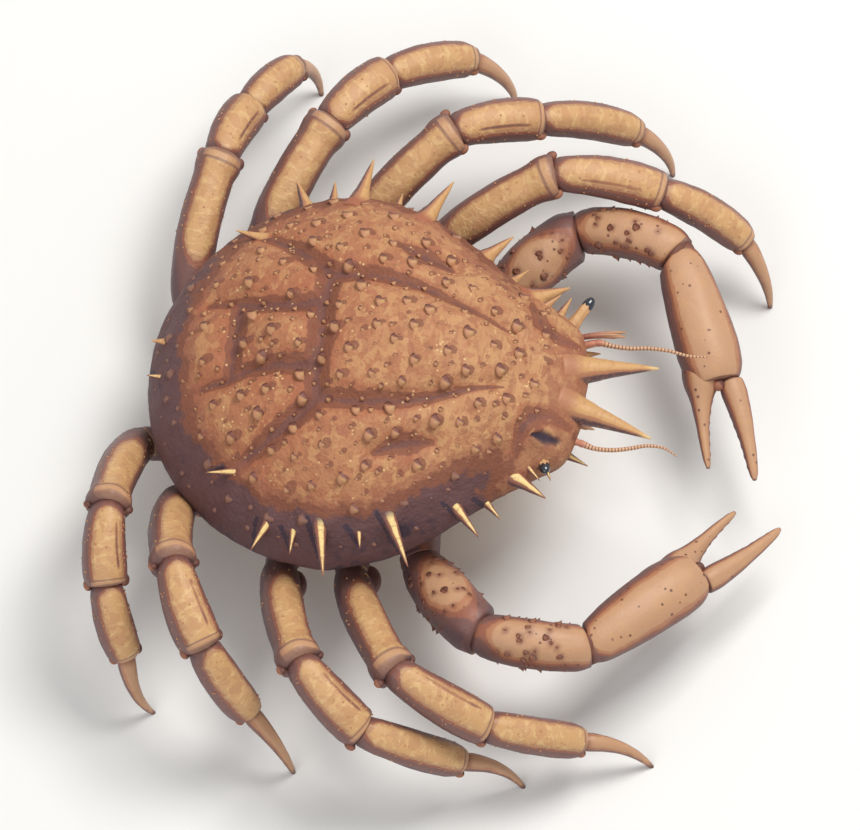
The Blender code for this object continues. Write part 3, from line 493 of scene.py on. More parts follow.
def lay_tube(name, blank, path, radii, first_plane=None, last_plane=None, flatness=1.0, relief=None, seed=0,
             lit_side=LIT_SIDE):
    """A tube blank carried onto a path. An end ring is laid in the plane that it is given and the other
    rings keep clear of it. relief(places, far, turn) adds to the radius. Stored for the materials: limb, the
    place along and round the tube; the painted light, 1 on the side that faces the way that it is given, where the
    painted highlight goes, and -1 opposite, in painted shade; slant, the same for the sides next to it; far, the
    share of the length."""
    mesh = blank.copy()
    mesh.name = name
    unit = coordinates(mesh)
    last = len(path) - 1
    ring = np.rint((unit[:, 2] + 0.5) * last).astype(int)
    along = np.gradient(path, axis=0)
    along /= np.linalg.norm(along, axis=1)[:, None]
    across = np.cross((0, 0, 1), along)
    across /= np.linalg.norm(across, axis=1)[:, None]
    over = np.cross(along, across)
    spoke = across[ring] * unit[:, :1] + over[ring] * unit[:, 1:2] * flatness
    run = np.concatenate(([0], np.cumsum(np.linalg.norm(np.diff(path, axis=0), axis=1))))
    radius = radii[ring].copy()
    turn = np.arctan2(unit[:, 0], unit[:, 1])
    if relief:
        radius = radius + relief(path[ring] + spoke * radius[:, None], run[ring] / run[-1], turn)
    points = path[ring] + spoke * radius[:, None]
    for plane, away, inward in ((first_plane, ring, 1), (last_plane, last - ring, -1)):
        if plane:
            point, normal = np.array(plane[0]), np.array(plane[1])
            clear = (points - point) @ normal * inward
            wanted = away * RING_CLEARANCE
            move = np.where((away == 0) | (clear < wanted), wanted - clear, 0)
            points += along[ring] * (inward * move / (along[ring] @ normal))[:, None]
    set_coordinates(mesh, points)
    store(mesh, "limb", np.column_stack((run[ring] + seed * 0.37, unit[:, 0] * radius, unit[:, 1] * radius)))
    # How each place faces the painted light, and the sides next to it.
    band = np.array(lit_side) - (along @ np.array(lit_side))[:, None] * along
    band /= np.linalg.norm(band, axis=1)[:, None]
    round_spoke = across[ring] * unit[:, :1] + over[ring] * unit[:, 1:2]
    store(mesh, "lit_side", (round_spoke * band[ring]).sum(axis=1))
    store(mesh, "slant", (round_spoke * np.cross(along, band)[ring]).sum(axis=1))
    store(mesh, "far", run[ring] / run[-1])
    obj = bpy.data.objects.new(name, mesh)
    bpy.context.scene.collection.objects.link(obj)
    return obj


def ring_stations(rings):
    """Places along a limb piece, closer together at both ends."""
    even = np.linspace(0, 1, rings + 1)
    return 0.45 * even + 0.55 * (1 - np.cos(np.pi * even)) / 2


def mirrored(point, side):
    """A left-hand place, or its match on the right."""
    return Vector((point.x, point.y if side == "left" else -point.y, point.z))


# Shape of the carapace.

def smooth_curve(points, steps):
    """A smooth line through all the points, with so many steps from each to the next."""
    ends = [2 * points[0] - points[1]] + list(points) + [2 * points[-1] - points[-2]]
    curve = []
    for a, b, c, d in zip(ends, ends[1:], ends[2:], ends[3:]):
        for k in range(steps):
            t = k / steps
            curve.append(0.5 * (2 * b + (c - a) * t + (2 * a - 5 * b + 4 * c - d) * t * t
                                + (3 * b - a - 3 * c + d) * t ** 3))
    return curve + [points[-1]]


def outline_table():
    """For the left edge: bearing from the hub, distance from the hub and share of the way round."""
    front = [np.array(point) * MM for point in FRONT_EDGE]
    arc = [np.array((-REAR_LENGTH * math.sin(a), HALF_WIDTH * math.cos(a)))
           for a in np.linspace(0, math.pi / 2, 24)]
    points = np.array(smooth_curve(front + [arc[0]], 6)[:-1] + arc)
    rays = points - np.array((HUB_X, 0))
    bearings = np.arctan2(rays[:, 1], rays[:, 0])
    reaches = np.hypot(rays[:, 0], rays[:, 1])
    steps = np.hypot(*np.diff(points, axis=0).T)
    shares = np.concatenate(([0], np.cumsum(steps))) / steps.sum()
    return bearings, reaches, shares


BEARINGS, REACHES, SHARES = outline_table()


def edge_height(x):
    """Height of the widest line round the carapace."""
    return WIDEST_Z + EDGE_SLOPE * x


def groove_distance(x, y, groove):
    """Distance in the plan from a groove or its mirror image, in metres."""
    here = np.stack((x, np.abs(y)), axis=-1)
    best = np.full(np.shape(x), 1.0)
    for a, b in zip(groove, groove[1:]):
        start = np.array(a) * MM
        span = np.array(b) * MM - start
        t = np.clip(((here - start) @ span) / (span @ span), 0, 1)
        best = np.minimum(best, np.linalg.norm(here - start - t[..., None] * span, axis=-1))
    return best


def tapered_distance(x, y, groove, shares):
    """Distance from a line in groove widths. The line narrows as its three shares say."""
    here = np.stack((x, np.abs(y)), axis=-1)
    points = np.array(groove) * MM
    runs = np.concatenate(([0], np.cumsum(np.linalg.norm(np.diff(points, axis=0), axis=1))))
    best = np.full(np.shape(x), 9.0)
    for k, (start, end) in enumerate(zip(points, points[1:])):
        span = end - start
        t = np.clip(((here - start) @ span) / (span @ span), 0, 1)
        place = (runs[k] + t * (runs[k + 1] - runs[k])) / runs[-1]
        width = GROOVE_WIDTH * np.interp(place, (0, 0.5, 1), shares)
        best = np.minimum(best, np.linalg.norm(here - start - t[..., None] * span, axis=-1) / width)
    return best


def groove_marks(x, y):
    """Distance from the nearest groove's tapered painted shade."""
    return np.minimum.reduce([tapered_distance(x, y, *line) for line in zip(GROOVES, GROOVE_SHARES)])


def rim_share(x, y):
    """How far out a place is, from 0 at the middle to 1 at the rim."""
    bearing = np.abs(np.arctan2(y, x - HUB_X))
    return np.hypot(x - HUB_X, y) / np.interp(bearing, BEARINGS, REACHES)


def flank_shade(x, y, share):
    """How dark the edge of the dome is, from its plum colour and painted shade: less so in front and on the far side.
    """
    edge = smooth_step(share, 0.72, 0.95) * (1 - 0.7 * smooth_step(x, 34 * MM, 70 * MM))
    return edge * (1 - 0.4 * smooth_step(y, 0, 50 * MM))


def all_grooves(x, y):
    """Distance from the nearest groove."""
    return np.minimum.reduce([groove_distance(x, y, groove) for groove in GROOVES])


def relief(x, y):
    """Rise of the lobes and depth of the grooves."""
    height = np.zeros(np.shape(x))
    for cx, cy, length, width, rise in LOBES:
        far = ((x / MM - cx) / length) ** 2 + ((np.abs(y) / MM - cy) / width) ** 2
        height += rise * MM * np.exp(-far)
    return height - GROOVE_DEPTH * np.exp(-(all_grooves(x, y) / GROOVE_WIDTH) ** 2)


def dome_height(x, y):
    """Height of the carapace over points of the plan that lie inside its edge."""
    x = np.asarray(x, dtype=float)
    y = np.asarray(y, dtype=float)
    bearing = np.arctan2(y, x - HUB_X)
    share = np.minimum(1, np.hypot(x - HUB_X, y) / np.interp(np.abs(bearing), BEARINGS, REACHES))
    fall = DOME_FALL[0] + DOME_FALL[1] * np.maximum(0, np.cos(bearing)) ** 2
    crown = DOME_HEIGHT * (1 - share ** 2) ** fall
    return edge_height(x) + crown + relief(x, y) * (1 - share ** RIM_FADE)


def dome_normal(x, y):
    """The way that the dome faces."""
    step = 1 * MM
    slope_x = (dome_height(x + step, y) - dome_height(x - step, y)) / (2 * step)
    slope_y = (dome_height(x, y + step) - dome_height(x, y - step)) / (2 * step)
    return Vector((-slope_x, -slope_y, 1)).normalized()


def flank_point(x, y, drop):
    """Under the edge, the flank curls inwards as it drops from 0 at the edge to 1 at the rim."""
    ahead = np.cos(np.arctan2(y, x - HUB_X))
    tuck = RIM_TUCK + np.where(ahead > 0, FRONT_TUCK, REAR_TUCK) * ahead ** 2
    inside = 1 - tuck * drop ** FLANK_CURL
    low = edge_height(x) + (RIM_Z - edge_height(x)) * drop
    return np.stack((HUB_X + (x - HUB_X) * inside, y * inside, low), axis=-1)


def tubercle_sites():
    """The same places as in the solids."""
    rng = random.Random(11)
    sites = []
    while len(sites) < TUBERCLES:
        bearing = rng.uniform(-math.pi, math.pi)
        share = math.sqrt(rng.uniform(0.0, 0.86))
        reach = float(np.interp(abs(bearing), BEARINGS, REACHES))
        x = HUB_X + share * reach * math.cos(bearing)
        y = share * reach * math.sin(bearing)
        if all_grooves(x, y) < 2.5 * MM:
            continue
        if all(math.dist((x, y), site) > TUBERCLE_SPACING for site in sites):
            sites.append((x, y))
    return sites


def small_wart_sites(large):
    """Places between the large warts."""
    rng = random.Random(31)
    sites = []
    while len(sites) < SMALL_WARTS:
        bearing = rng.uniform(-math.pi, math.pi)
        share = math.sqrt(rng.uniform(0.0, 0.95))
        reach = float(np.interp(abs(bearing), BEARINGS, REACHES))
        here = (HUB_X + share * reach * math.cos(bearing), share * reach * math.sin(bearing))
        if all(math.dist(here, site) > SMALL_WART_SPACING for site in sites + large):
            sites.append(here)
    return sites


def spine_roots():
    """Root, direction, length and radius of every carapace spine, in metres."""
    roots = []
    for number, (x, y, heading, rise, length, radius) in enumerate(SPINES):
        for side in (1, -1):
            if number == ANTENNA_SPINE:
                root = Vector(flank_point(x * MM, side * y * MM, ANTENNA_SPINE_DROP))
            else:
                root = Vector((x * MM, side * y * MM, dome_height(x * MM, side * y * MM) - radius * MM * 0.6))
            roots.append((root, direction(side * heading, rise), length * MM, radius * MM))
    return roots


def spine_shadows(points):
    """Dark streaks that narrow towards the tips of the near spines, as painted beside them in the drawing."""
    across, up = points @ ACROSS, points @ UPWARDS
    shadow = np.zeros(len(points))
    for root, along, length, _ in spine_roots():
        if root.y > 0 or root.x > SPINE_SHADOW_FRONT:
            continue
        start, end = np.array(root), np.array(root + along * length * 0.95)
        left, bottom = start @ ACROSS - SPINE_SHADOW_START[0], start @ UPWARDS + SPINE_SHADOW_START[1]
        run, rise = end @ ACROSS - left, end @ UPWARDS - bottom
        share = np.clip(((across - left) * run + (up - bottom) * rise) / (run ** 2 + rise ** 2), 0, 1)
        off = np.hypot(across - left - share * run, up - bottom - share * rise)
        near = np.linalg.norm(points - start, axis=1) < length * 1.2 + 6 * MM
        width = np.interp(share, (0, 1), SPINE_SHADOW_WIDTHS) * MM
        shadow = np.maximum(shadow, near * np.exp(-(off / width) ** 4))
    return shadow


def wart_shadows(points, sites, mark):
    """Painted shadows beside warts, some weaker than others."""
    ahead, aside, reach, least = mark
    wart_shadow_marks = np.zeros(len(points))
    for x, y in sites:
        off = np.hypot(points[:, 0] - x - ahead, points[:, 1] - y - aside)
        strength = least + (1 - least) * math.sin(x * SHADOW_CHANGE) ** 2
        wart_shadow_marks = np.maximum(wart_shadow_marks, strength * np.exp(-(off / reach) ** 4))
    return wart_shadow_marks


def carapace_shell(material):
    """The dome, from a sphere whose meridians are spread evenly round the outline."""
    deselect()
    bpy.ops.mesh.primitive_uv_sphere_add(segments=SHELL_COLUMNS, ring_count=SHELL_ROWS, radius=1)
    shell = bpy.context.object
    shell.name = "carapace_shell"
    unit = coordinates(shell.data)
    row = np.rint(np.arccos(np.clip(unit[:, 2], -1, 1)) / math.pi * SHELL_ROWS)
    equator = SHELL_ROWS // 2
    turn = np.arctan2(unit[:, 1], unit[:, 0])
    bearing = np.copysign(np.interp(np.abs(turn) / math.pi, SHARES, BEARINGS), turn)
    reach = np.interp(np.abs(bearing), BEARINGS, REACHES)
    share = np.sin(np.minimum(row, equator) / equator * math.pi / 2) ** DOME_ROW_SPREAD
    x = HUB_X + share * reach * np.cos(bearing)
    y = share * reach * np.sin(bearing)
    drop = np.clip((row - equator) / SHELL_FLANK_ROWS, 0, 1)
    dome = np.stack((x, y, dome_height(x, y)), axis=-1)
    points = np.where((row <= equator)[:, None], dome, flank_point(x, y, drop))
    large = tubercle_sites()
    wart_shadow_marks = np.maximum(wart_shadows(points, large, TUBERCLE_SHADOW),
                       wart_shadows(points, small_wart_sites(large), SMALL_WART_SHADOW))
    mounds = np.zeros(len(points))
    rise, width = TUBERCLE_MOUND
    for site in large:
        off = np.hypot(points[:, 0] - site[0], points[:, 1] - site[1])
        mounds += rise * np.exp(-(off / width) ** 2)
    rise, width = SPINE_MOUND
    for root, _, _, radius in spine_roots():
        off = np.linalg.norm(points - np.array(root), axis=1)
        mounds += rise * radius * np.exp(-(off / (width * radius)) ** 2)
        wart_shadow_marks *= 1 - np.exp(-(off / (SPINE_CLEARING * radius)) ** 4)
    fine = FINE_PEBBLES[1] * grain(points, FINE_PEBBLES[0])
    coarse = COARSE_PEBBLES[1] * grain(points, COARSE_PEBBLES[0], 2)
    mounds += np.where(drop < 1, fine + coarse, 0)
    mounds -= VALLEY_DEPTH * np.exp(-(all_grooves(x, y) / VALLEY_WIDTH) ** 2) * (1 - share ** RIM_FADE)
    # slit: the sunk eye slit, which the material fills with painted shade.
    slit = np.exp(-tapered_distance(x, y, EYE_SLIT, EYE_SLIT_SHARES) ** 4) * (drop == 0) * (y < 0)
    mounds -= EYE_SLIT_DEPTH * slit
    outward = np.stack((x - HUB_X, y, np.maximum(0.02, DOME_HEIGHT * (1 - share ** 2))), axis=-1)
    outward /= np.linalg.norm(outward, axis=1)[:, None]
    points += outward * mounds[:, None]
    set_coordinates(shell.data, points)
    store(shell.data, "row", row)
    # groove: painted shade in the grooves.
    off = groove_marks(x, y)
    core = 0.6 * np.exp(-off ** 2) + 0.4 * np.exp(-(off / 2) ** 2)
    store(shell.data, "groove", core * (drop == 0))
    store(shell.data, "slit", slit)
    # lobe: painted highlight on the raised lobes.
    lobes = sum(np.exp(-((x / MM - cx) / length) ** 2 - ((np.abs(y) / MM - cy) / width) ** 2)
                for cx, cy, length, width, _ in LOBES)
    store(shell.data, "lobe", np.clip(lobes, 0, 1))
    # flank: the plum edge colour, partly painted shade, and the painted shadows beside the near spines.
    flank = np.clip(flank_shade(x, y, share) * 0.72 + smooth_step(drop, 0, 0.5) * 0.28, 0, 1)
    store(shell.data, "flank", np.maximum(flank, spine_shadows(points)))
    # wart: the painted shadows beside the warts.
    store(shell.data, "wart", wart_shadow_marks)
    store(shell.data, "ahead", smooth_step(x, -30 * MM, 62 * MM))
    bpy.ops.object.mode_set(mode="EDIT")
    bm = bmesh.from_edit_mesh(shell.data)
    rows = bm.verts.layers.float["row"]
    for vert in bm.verts:
        vert.select_set(vert[rows] > equator + SHELL_FLANK_ROWS)
    bmesh.update_edit_mesh(shell.data)
    bpy.ops.mesh.delete(type="VERT")
    bpy.ops.mesh.select_non_manifold(extend=False)
    bpy.ops.mesh.edge_face_add()
    for thickness, depth in RIM_INSETS:
        bpy.ops.mesh.inset(thickness=thickness, depth=depth)
    bpy.ops.object.mode_set(mode="OBJECT")
    return finish_piece(shell, material, ["carapace"])


def carapace_spines(blank, looks):
    """Horns and side spines: flared roots, a slight bend, and pale tips."""
    groups = {kind: [] for kind in LIT_SIDES}
    stations = np.linspace(0, 1, SPINE_RINGS + 1)
    for root, along, length, radius in spine_roots():
        kind = "horn" if radius > HORN_RADIUS else "far_spine" if root.y > 0 else "near_spine"
        taper = np.interp(stations, *zip(*SPINE_TAPER))
        if kind == "far_spine":
            taper += np.interp(stations, *zip(*FAR_SPINE_FLARE))
        path = bowed_path(root - along * SPINE_SINK, root + along * length, stations, 0.02, UP)
        group = groups[kind]
        group.append(lay_tube("spine", blank, path, taper * radius, relief=spine_relief, seed=len(group),
                              lit_side=LIT_SIDES[kind]))
    for kind, spines in groups.items():
        finish_piece(join(spines, kind + "s"), looks[kind])


def spine_relief(places, far, turn):
    """Faint rings near the root, and a grain that fades towards the tip."""
    rings = np.sin(far * 42 + grain(places, 4 * MM, 5) * 2.5) * 0.10 * MM * np.clip(1 - 1.6 * far, 0, 1)
    fine = grain(places, 2.2 * MM, 4) * 0.16 * MM
    coarse = grain(places, 5 * MM, 5) * 0.25 * MM
    return fine * (1 - far) + coarse * (1 - far) + rings


def carapace_warts(blank, material):
    """The solids' warts and smaller ones between them. A wart's radius is a share of its height and a little more."""
    rng = random.Random(12)
    large = tubercle_sites()
    sites = [(site, TUBERCLE_HEIGHT, 0.85, 0.6 * MM) for site in large]
    sites += [(site, SMALL_WART_HEIGHT, 0.9, 0.1 * MM) for site in small_wart_sites(large)]
    placements = []
    shades = []
    for (x, y), heights, share, extra in sites:
        height = rng.uniform(*heights)
        if y < 0 and groove_distance(x, y, EYE_SLIT) < EYE_SLIT_CLEAR:
            continue
        placements.append(wart_matrix(x, y, height * 0.85 + 0.4 * MM, height * share + extra))
        shades.append(float(flank_shade(x, y, rim_share(x, y))))
    warts = scatter("carapace_warts", blank, placements, [("flank", shades)])
    return finish_piece(warts, material)


def wart_matrix(x, y, height, radius):
    """Stands a wart on the dome, leaning forward, with its foot sunk in."""
    along = (dome_normal(x, y) + Vector((TUBERCLE_LEAN, 0, 0))).normalized()
    return stand(Vector((x, y, dome_height(x, y))) - along * WART_SINK, along, radius, height)


# Limbs.

def walk(start, lengths, headings, rises):
    """Joints of a limb, one length after another."""
    joints = [start]
    for length, heading, rise in zip(lengths, headings, rises):
        joints.append(joints[-1] + direction(heading, rise) * length * MM)
    return joints


def leg_joints(side, number):
    """Joints of a leg. The toe falls just far enough to stand on the floor."""
    x, y = LEG_HIPS[number]
    headings, rises = LEG_POSE[side][number]
    lengths = LEG_LENGTHS[number]
    joints = walk(mirrored(Vector((x * MM, y * MM, HIP_Z)), side), lengths[:4], headings, rises)
    ankle = joints[-1]
    fall = -math.degrees(math.asin(ankle.z / (lengths[4] * MM)))
    return joints + [ankle + direction(headings[4], fall) * lengths[4] * MM]


def claw_joints(side):
    """Joints of a claw, from the body to the end of the palm."""
    x, y = CLAW_HIP
    headings, rises = CLAW_POSE[side]
    return walk(mirrored(Vector((x * MM, y * MM, HIP_Z)), side), CLAW_LENGTHS, headings, rises)


def joint_plane(joints, number, side_of_joint):
    """The plane of a joint halves the bend there."""
    normal = (joints[number] - joints[number - 1]).normalized()
    if number + 1 < len(joints):
        normal = (normal + (joints[number + 1] - joints[number]).normalized()).normalized()
    return joints[number] + normal * (side_of_joint * GAP / 2), normal


def outer_side(side, heading):
    """The side that a limb bulges to, away from the way that it curls."""
    return direction(heading + (90 if side == "left" else -90), 0)


def shell_relief(amount, seed):
    """Fine pebbling and faint lengthwise waves of a limb's shell."""
    def relief_of(places, far, turn):
        waves = np.sin(turn * 7 + grain(places, 12 * MM, seed) * 3) * 0.10 * MM
        return amount * (grain(places, 2.4 * MM, seed) * 0.5 + grain(places, 7 * MM, seed + 1)) + waves
    return relief_of


def lipped(radii, stations, length, near=2.2 * MM, lip=1.0 * MM):
    """Rounds off both ends of a limb piece: a soft shoulder where it starts and a lip where it ends."""
    start = np.clip(stations * length / near, 0, 1)
    end = np.clip((1 - stations) * length / lip, 0, 1)
    shoulder = SHOULDER + (1 - SHOULDER) * np.sqrt(1 - (1 - start) ** 2)
    edge = LIP + (1 - LIP) * np.sqrt(1 - (1 - end) ** 2)
    return radii * shoulder * edge


def stored(mesh, name):
    """A value for each vertex, as stored earlier."""
    values = np.empty(len(mesh.vertices))
    mesh.attributes[name].data.foreach_get("value", values)
    return values


def darken(obj, amount):
    """Stores how dark a limb piece is along its length. amount(far) is 0 to 1."""
    store(obj.data, "dark", amount(stored(obj.data, "far")))


def add_furrow(obj, side):
    """Stores the dark furrow along one side of a carpus."""
    far, slant, lit_side = (stored(obj.data, name) for name in ("far", "slant", "lit_side"))
    middle = 0.42 if side == "left" else -0.42
    line = np.exp(-((slant - middle) / 0.09) ** 2) * (lit_side > 0)
    store(obj.data, "furrow", line * smooth_step(far, 0.1, 0.3) * (1 - smooth_step(far, 0.75, 0.9)))


def limb_shell(name, blank, joints, number, outline, side, heading, scale=1.0, bow=LEG_BOW, flatness=1.0, lean=None):
    """One hard piece of a limb between two joints."""
    stations = ring_stations(LIMB_RINGS)
    start, end = joints[number], joints[number + 1]
    length = (end - start).length
    radii = lipped(outline_radii(outline, stations) * scale, stations, length)
    path = bowed_path(start, end, stations, bow, lean or (UP + outer_side(side, heading)))
    seed = number + 5 * (side == "left")
    return lay_tube(name, blank, path, radii, joint_plane(joints, number, 1),
                    joint_plane(joints, number + 1, -1), flatness, shell_relief(0.16 * MM, seed), seed)


def basis_shell(name, blank, joints, outline, scale):
    """The short piece that seats a limb in the body."""
    along = (joints[1] - joints[0]).normalized()
    stations = ring_stations(LIMB_RINGS)
    radii = lipped(outline_radii(outline, stations) * scale, stations, BASIS_LENGTH)
    path = bowed_path(joints[0] - along * SEAT, joints[1], stations, 0, UP)
    return lay_tube(name, blank, path, radii, None, joint_plane(joints, 1, -1), 1.0, shell_relief(0.12 * MM, 8), 8)


def on_limb(joints, number, outline, lean, bow, scale, place, turn):
    """Point and outward direction on a limb piece, at a share of its length and an angle round it."""
    start, end = joints[number], joints[number + 1]
    radius = float(np.interp(place, [a for a, _ in outline], [b for _, b in outline])) * scale * MM
    centre = Vector(bowed_path(start, end, [place], bow, lean)[0])
    along = (end - start).normalized()
    across = UP.cross(along).normalized()
    outwards = across * math.cos(turn) + along.cross(across) * math.sin(turn)
    return centre + outwards * radius, outwards, along


def granules(joints, number, outline, lean, scale, rng):
    """Fine granules, closest together along both upper edges of a leg piece."""
    places = []
    for k in range(GRANULES):
        turn = rng.gauss(0.45, 0.35) if k % 3 else rng.uniform(0.2, math.pi / 2)
        if rng.random() < 0.5:
            turn = math.pi - turn
        place, outwards, _ = on_limb(joints, number, outline, lean, LEG_BOW, scale, rng.uniform(0.05, 0.96), turn)
        size = rng.uniform(*GRANULE_SIZE) * MM
        places.append(stand(place, outwards, size, size * 0.8))
    return places


def condyles(joints, number, outline, scale):
    """The pair of knobs that a joint turns on, just behind the lip at the end of a piece."""
    point, normal = joint_plane(joints, number + 1, -1)
    along = (joints[number + 1] - joints[number]).normalized()
    across = UP.cross(along).normalized()
    places = []
    for sign in (1, -1):
        spoke = across * sign * outline[-1][1] * scale * MM
        place = point + spoke
        place += (along * ((point - place).dot(normal) / along.dot(normal)) - along * CONDYLE_SETBACK
                  - spoke * CONDYLE_SINK)
        places.append(Matrix.Translation(place) @ pointed(along) @ sized(*CONDYLE_SIZE))
    return places


def walking_leg(side, number, blank, looks):
    """Lays the pieces of a leg. Gives its joints, and places for the small beads and knobs on it."""
    joints = leg_joints(side, number)
    scale = LEG_THICKNESS[number]
    headings = LEG_POSE[side][number][0]
    rng = random.Random(40 + number + (10 if side == "left" else 0))
    name = f"{side}_leg{number + 1}_"
    basis = basis_shell(name + "basis_shell", blank, joints, BASIS, scale)
    darken(basis, lambda far: 0.9 + 0 * far)
    finish_piece(basis, looks["leg"], [name + "basis"])
    beads = []
    knobs = []
    for step, (piece, outline) in enumerate((("merus", MERUS), ("carpus", CARPUS), ("propodus", PROPODUS)), 1):
        obj = limb_shell(f"{name}{piece}_shell", blank, joints, step, outline, side, headings[step], scale)
        if piece == "merus":
            darken(obj, lambda far: 1 - smooth_step(far, 0.12, 0.46))
        else:
            darken(obj, lambda far: 0.5 * (1 - smooth_step(far, 0, 0.14)))
        if piece == "carpus":
            add_furrow(obj, side)
        finish_piece(obj, looks["leg"], [name + piece])
        beads += granules(joints, step, outline, UP + outer_side(side, headings[step]), scale, rng)
        knobs += condyles(joints, step, outline, scale)
    floor = (Vector((0, 0, 0)), -UP)
    stations = ring_stations(LIMB_RINGS)
    radii = lipped(outline_radii(DACTYL, stations) * scale, stations, TOE_LENGTH, near=1.5 * MM, lip=0.3 * MM)
    lean = UP + outer_side(side, headings[4]) * TOE_LEAN[side][number]
    path = bowed_path(joints[4], joints[5], stations, DACTYL_BOW, lean)
    toe = lay_tube(name + "dactyl_shell", blank, path, radii, joint_plane(joints, 4, 1), floor, 1.0,
                   toe_relief, number)
    finish_piece(toe, looks["toe"], [name + "dactyl"])
    return joints, beads, knobs


def toe_relief(places, far, turn):
    """Shallow grooves along the toe."""
    return -0.12 * MM * np.maximum(0, np.cos(turn * 4)) ** 4 * (1 - far) + grain(places, 3 * MM, 6) * 0.06 * MM


def claw_arm(side, blank, looks):
    """Lays the arm of a claw. Gives its joints, and places for the warts on it."""
    joints = claw_joints(side)
    headings = CLAW_POSE[side][0]
    basis = basis_shell(side + "_claw_basis_shell", blank, joints, CLAW_BASIS, 1.0)
    darken(basis, lambda far: 0.9 + 0 * far)
    finish_piece(basis, looks["claw"], [side + "_claw_basis"])
    placements = []
    for step, (piece, outline) in enumerate((("merus", CLAW_MERUS), ("carpus", CLAW_CARPUS)), 1):
        bow = LEG_BOW if piece == "merus" else CLAW_CARPUS_BOW
        obj = limb_shell(f"{side}_claw_{piece}_shell", blank, joints, step, outline, side, headings[step], bow=bow)
        sites = arm_wart_sites(side, joints, step, outline, headings[step], bow)
        darken_sites(obj, [root for root, _, _ in sites])
        if piece == "merus":
            darken(obj, lambda far: 1 - np.exp(-((far - 0.55) / 0.26) ** 2))
        else:
            darken(obj, lambda far: 0.8 - 0.8 * smooth_step(far, 0.05, 0.3))
        finish_piece(obj, looks["claw"], [f"{side}_claw_{piece}"])
        placements += [stand(root - lean * WART_SINK, lean, height * 0.95, height * 0.8 + WART_SINK)
                       for root, lean, height in sites]
    return joints, placements


def arm_wart_sites(side, joints, step, outline, heading, bow):
    """Root, lean and height of the arm's pointed warts: the solids' ones and smaller ones between them."""
    rng = random.Random(20 + step + (10 if side == "left" else 0))
    lean = UP + outer_side(side, heading)
    sites = []
    for k in range(CLAW_WARTS * 3):
        large = k < CLAW_WARTS
        spread = (k + 0.5) / CLAW_WARTS if large else rng.random()
        turn = math.radians((k * 97) % 250 - 35 + rng.uniform(-12, 12))
        root, outwards, along = on_limb(joints, step, outline, lean, bow, 1.0, 0.16 + 0.68 * spread, turn)
        height = rng.uniform(1.2, 2.0) * MM * (1 if large else SMALL_ARM_WART)
        sites.append((root, (outwards + along * 0.5).normalized(), height))
    return sites


def darken_sites(obj, roots):
    """Stores the painted shade round the roots of an arm's warts."""
    points = coordinates(obj.data)
    dark = np.zeros(len(points))
    for root in roots:
        off = np.linalg.norm(points - np.array(root), axis=1)
        dark = np.maximum(dark, np.exp(-(off / (1.5 * MM)) ** 4))
    store(obj.data, "wart", dark)


def claw_hand(side, blank, looks):
    """Palm with its fixed finger, and the free finger beside it. Gives the place of the knob between them."""
    joints = claw_joints(side)
    headings, rises = CLAW_POSE[side]
    palm_end = joints[4]
    inward = -1 if side == "left" else 1
    palm_axis = direction(headings[3], rises[3])
    sideways = direction(headings[3] + 90 * inward, 0)
    end_plane = (palm_end + palm_axis * (GAP / 2), palm_axis)
    palm = limb_shell(side + "_claw_palm_shell", blank, joints, 3, PALM, side, headings[3], bow=PALM_BOW,
                      flatness=PALM_FLATNESS, lean=UP)
    stations = ring_stations(LIMB_RINGS)
    fixed_axis = direction(headings[3] + FIXED_FINGER_SPLAY * inward, rises[3] - FINGER_DROP)
    root = palm_end + sideways * FIXED_FINGER_OFFSET
    path = bowed_path(root - palm_axis * FIXED_FINGER_SINK, root + fixed_axis * FIXED_FINGER_LENGTH, stations,
                      FINGER_BOW, sideways)
    radii = lipped(outline_radii(FIXED_FINGER, stations), stations, FIXED_FINGER_SPAN, near=1 * MM, lip=0.8 * MM)
    fixed = lay_tube(side + "_fixed_finger", blank, path, radii, relief=finger_relief(-inward), seed=3)
    darken(palm, lambda far: 0.5 * (1 - smooth_step(far, 0.0, 0.1)))
    finish_piece(palm, looks["claw"], [side + "_claw_palm"])
    finish_piece(fixed, looks["claw"])
    free_axis = direction(headings[3] + FREE_FINGER_SPLAY * inward, rises[3] - FINGER_DROP)
    root = palm_end - sideways * FREE_FINGER_OFFSET
    path = bowed_path(root, root + free_axis * FREE_FINGER_LENGTH, stations, FINGER_BOW, -sideways)
    radii = lipped(outline_radii(FREE_FINGER, stations), stations, FREE_FINGER_SPAN, near=1.6 * MM, lip=0.8 * MM)
    free = lay_tube(side + "_claw_finger_shell", blank, path, radii, first_plane=end_plane,
                    relief=finger_relief(inward), seed=4)
    finish_piece(free, looks["claw"], [side + "_claw_finger"])
    along, aside, above = CLAW_KNOB
    return stand(palm_end + palm_axis * along + UP * above + sideways * aside, UP, CLAW_KNOB_RADIUS, CLAW_KNOB_RADIUS)


def finger_relief(biting):
    """Low teeth along the biting edge of a finger, and shallow grooves beside it."""
    def relief_of(places, far, turn):
        edge = np.exp(-((turn - biting * math.pi / 2) / 0.35) ** 2)
        waves, height = CLAW_TEETH
        teeth = np.maximum(0, np.sin(far * waves)) * smooth_step(far, 0.25, 0.4) * (1 - smooth_step(far, 0.9, 1.0))
        grooves = -0.18 * MM * np.exp(-((np.abs(turn) - 0.7) / 0.2) ** 2) * (1 - far)
        return height * edge * teeth + grooves + grain(places, 4 * MM, 9) * 0.08 * MM
    return relief_of


def joint_skins(all_joints, material):
    """Soft skin that shows in the slits between the hard pieces of every limb."""
    deselect()
    bpy.ops.mesh.primitive_uv_sphere_add(segments=24, ring_count=14, radius=1, location=(0, 0, 0))
    ball = bpy.context.object
    blank = ball.data
    bpy.data.objects.remove(ball)
    placements = []
    for joints, radii in all_joints:
        for joint, before, radius in zip(joints[1:-1], joints, radii):
            placements.append(stand(joint, (joint - before).normalized(), radius * MM, radius * 0.6 * MM))
    skins = scatter("joint_skins", blank, placements)
    return finish_piece(skins, material)


# Face.

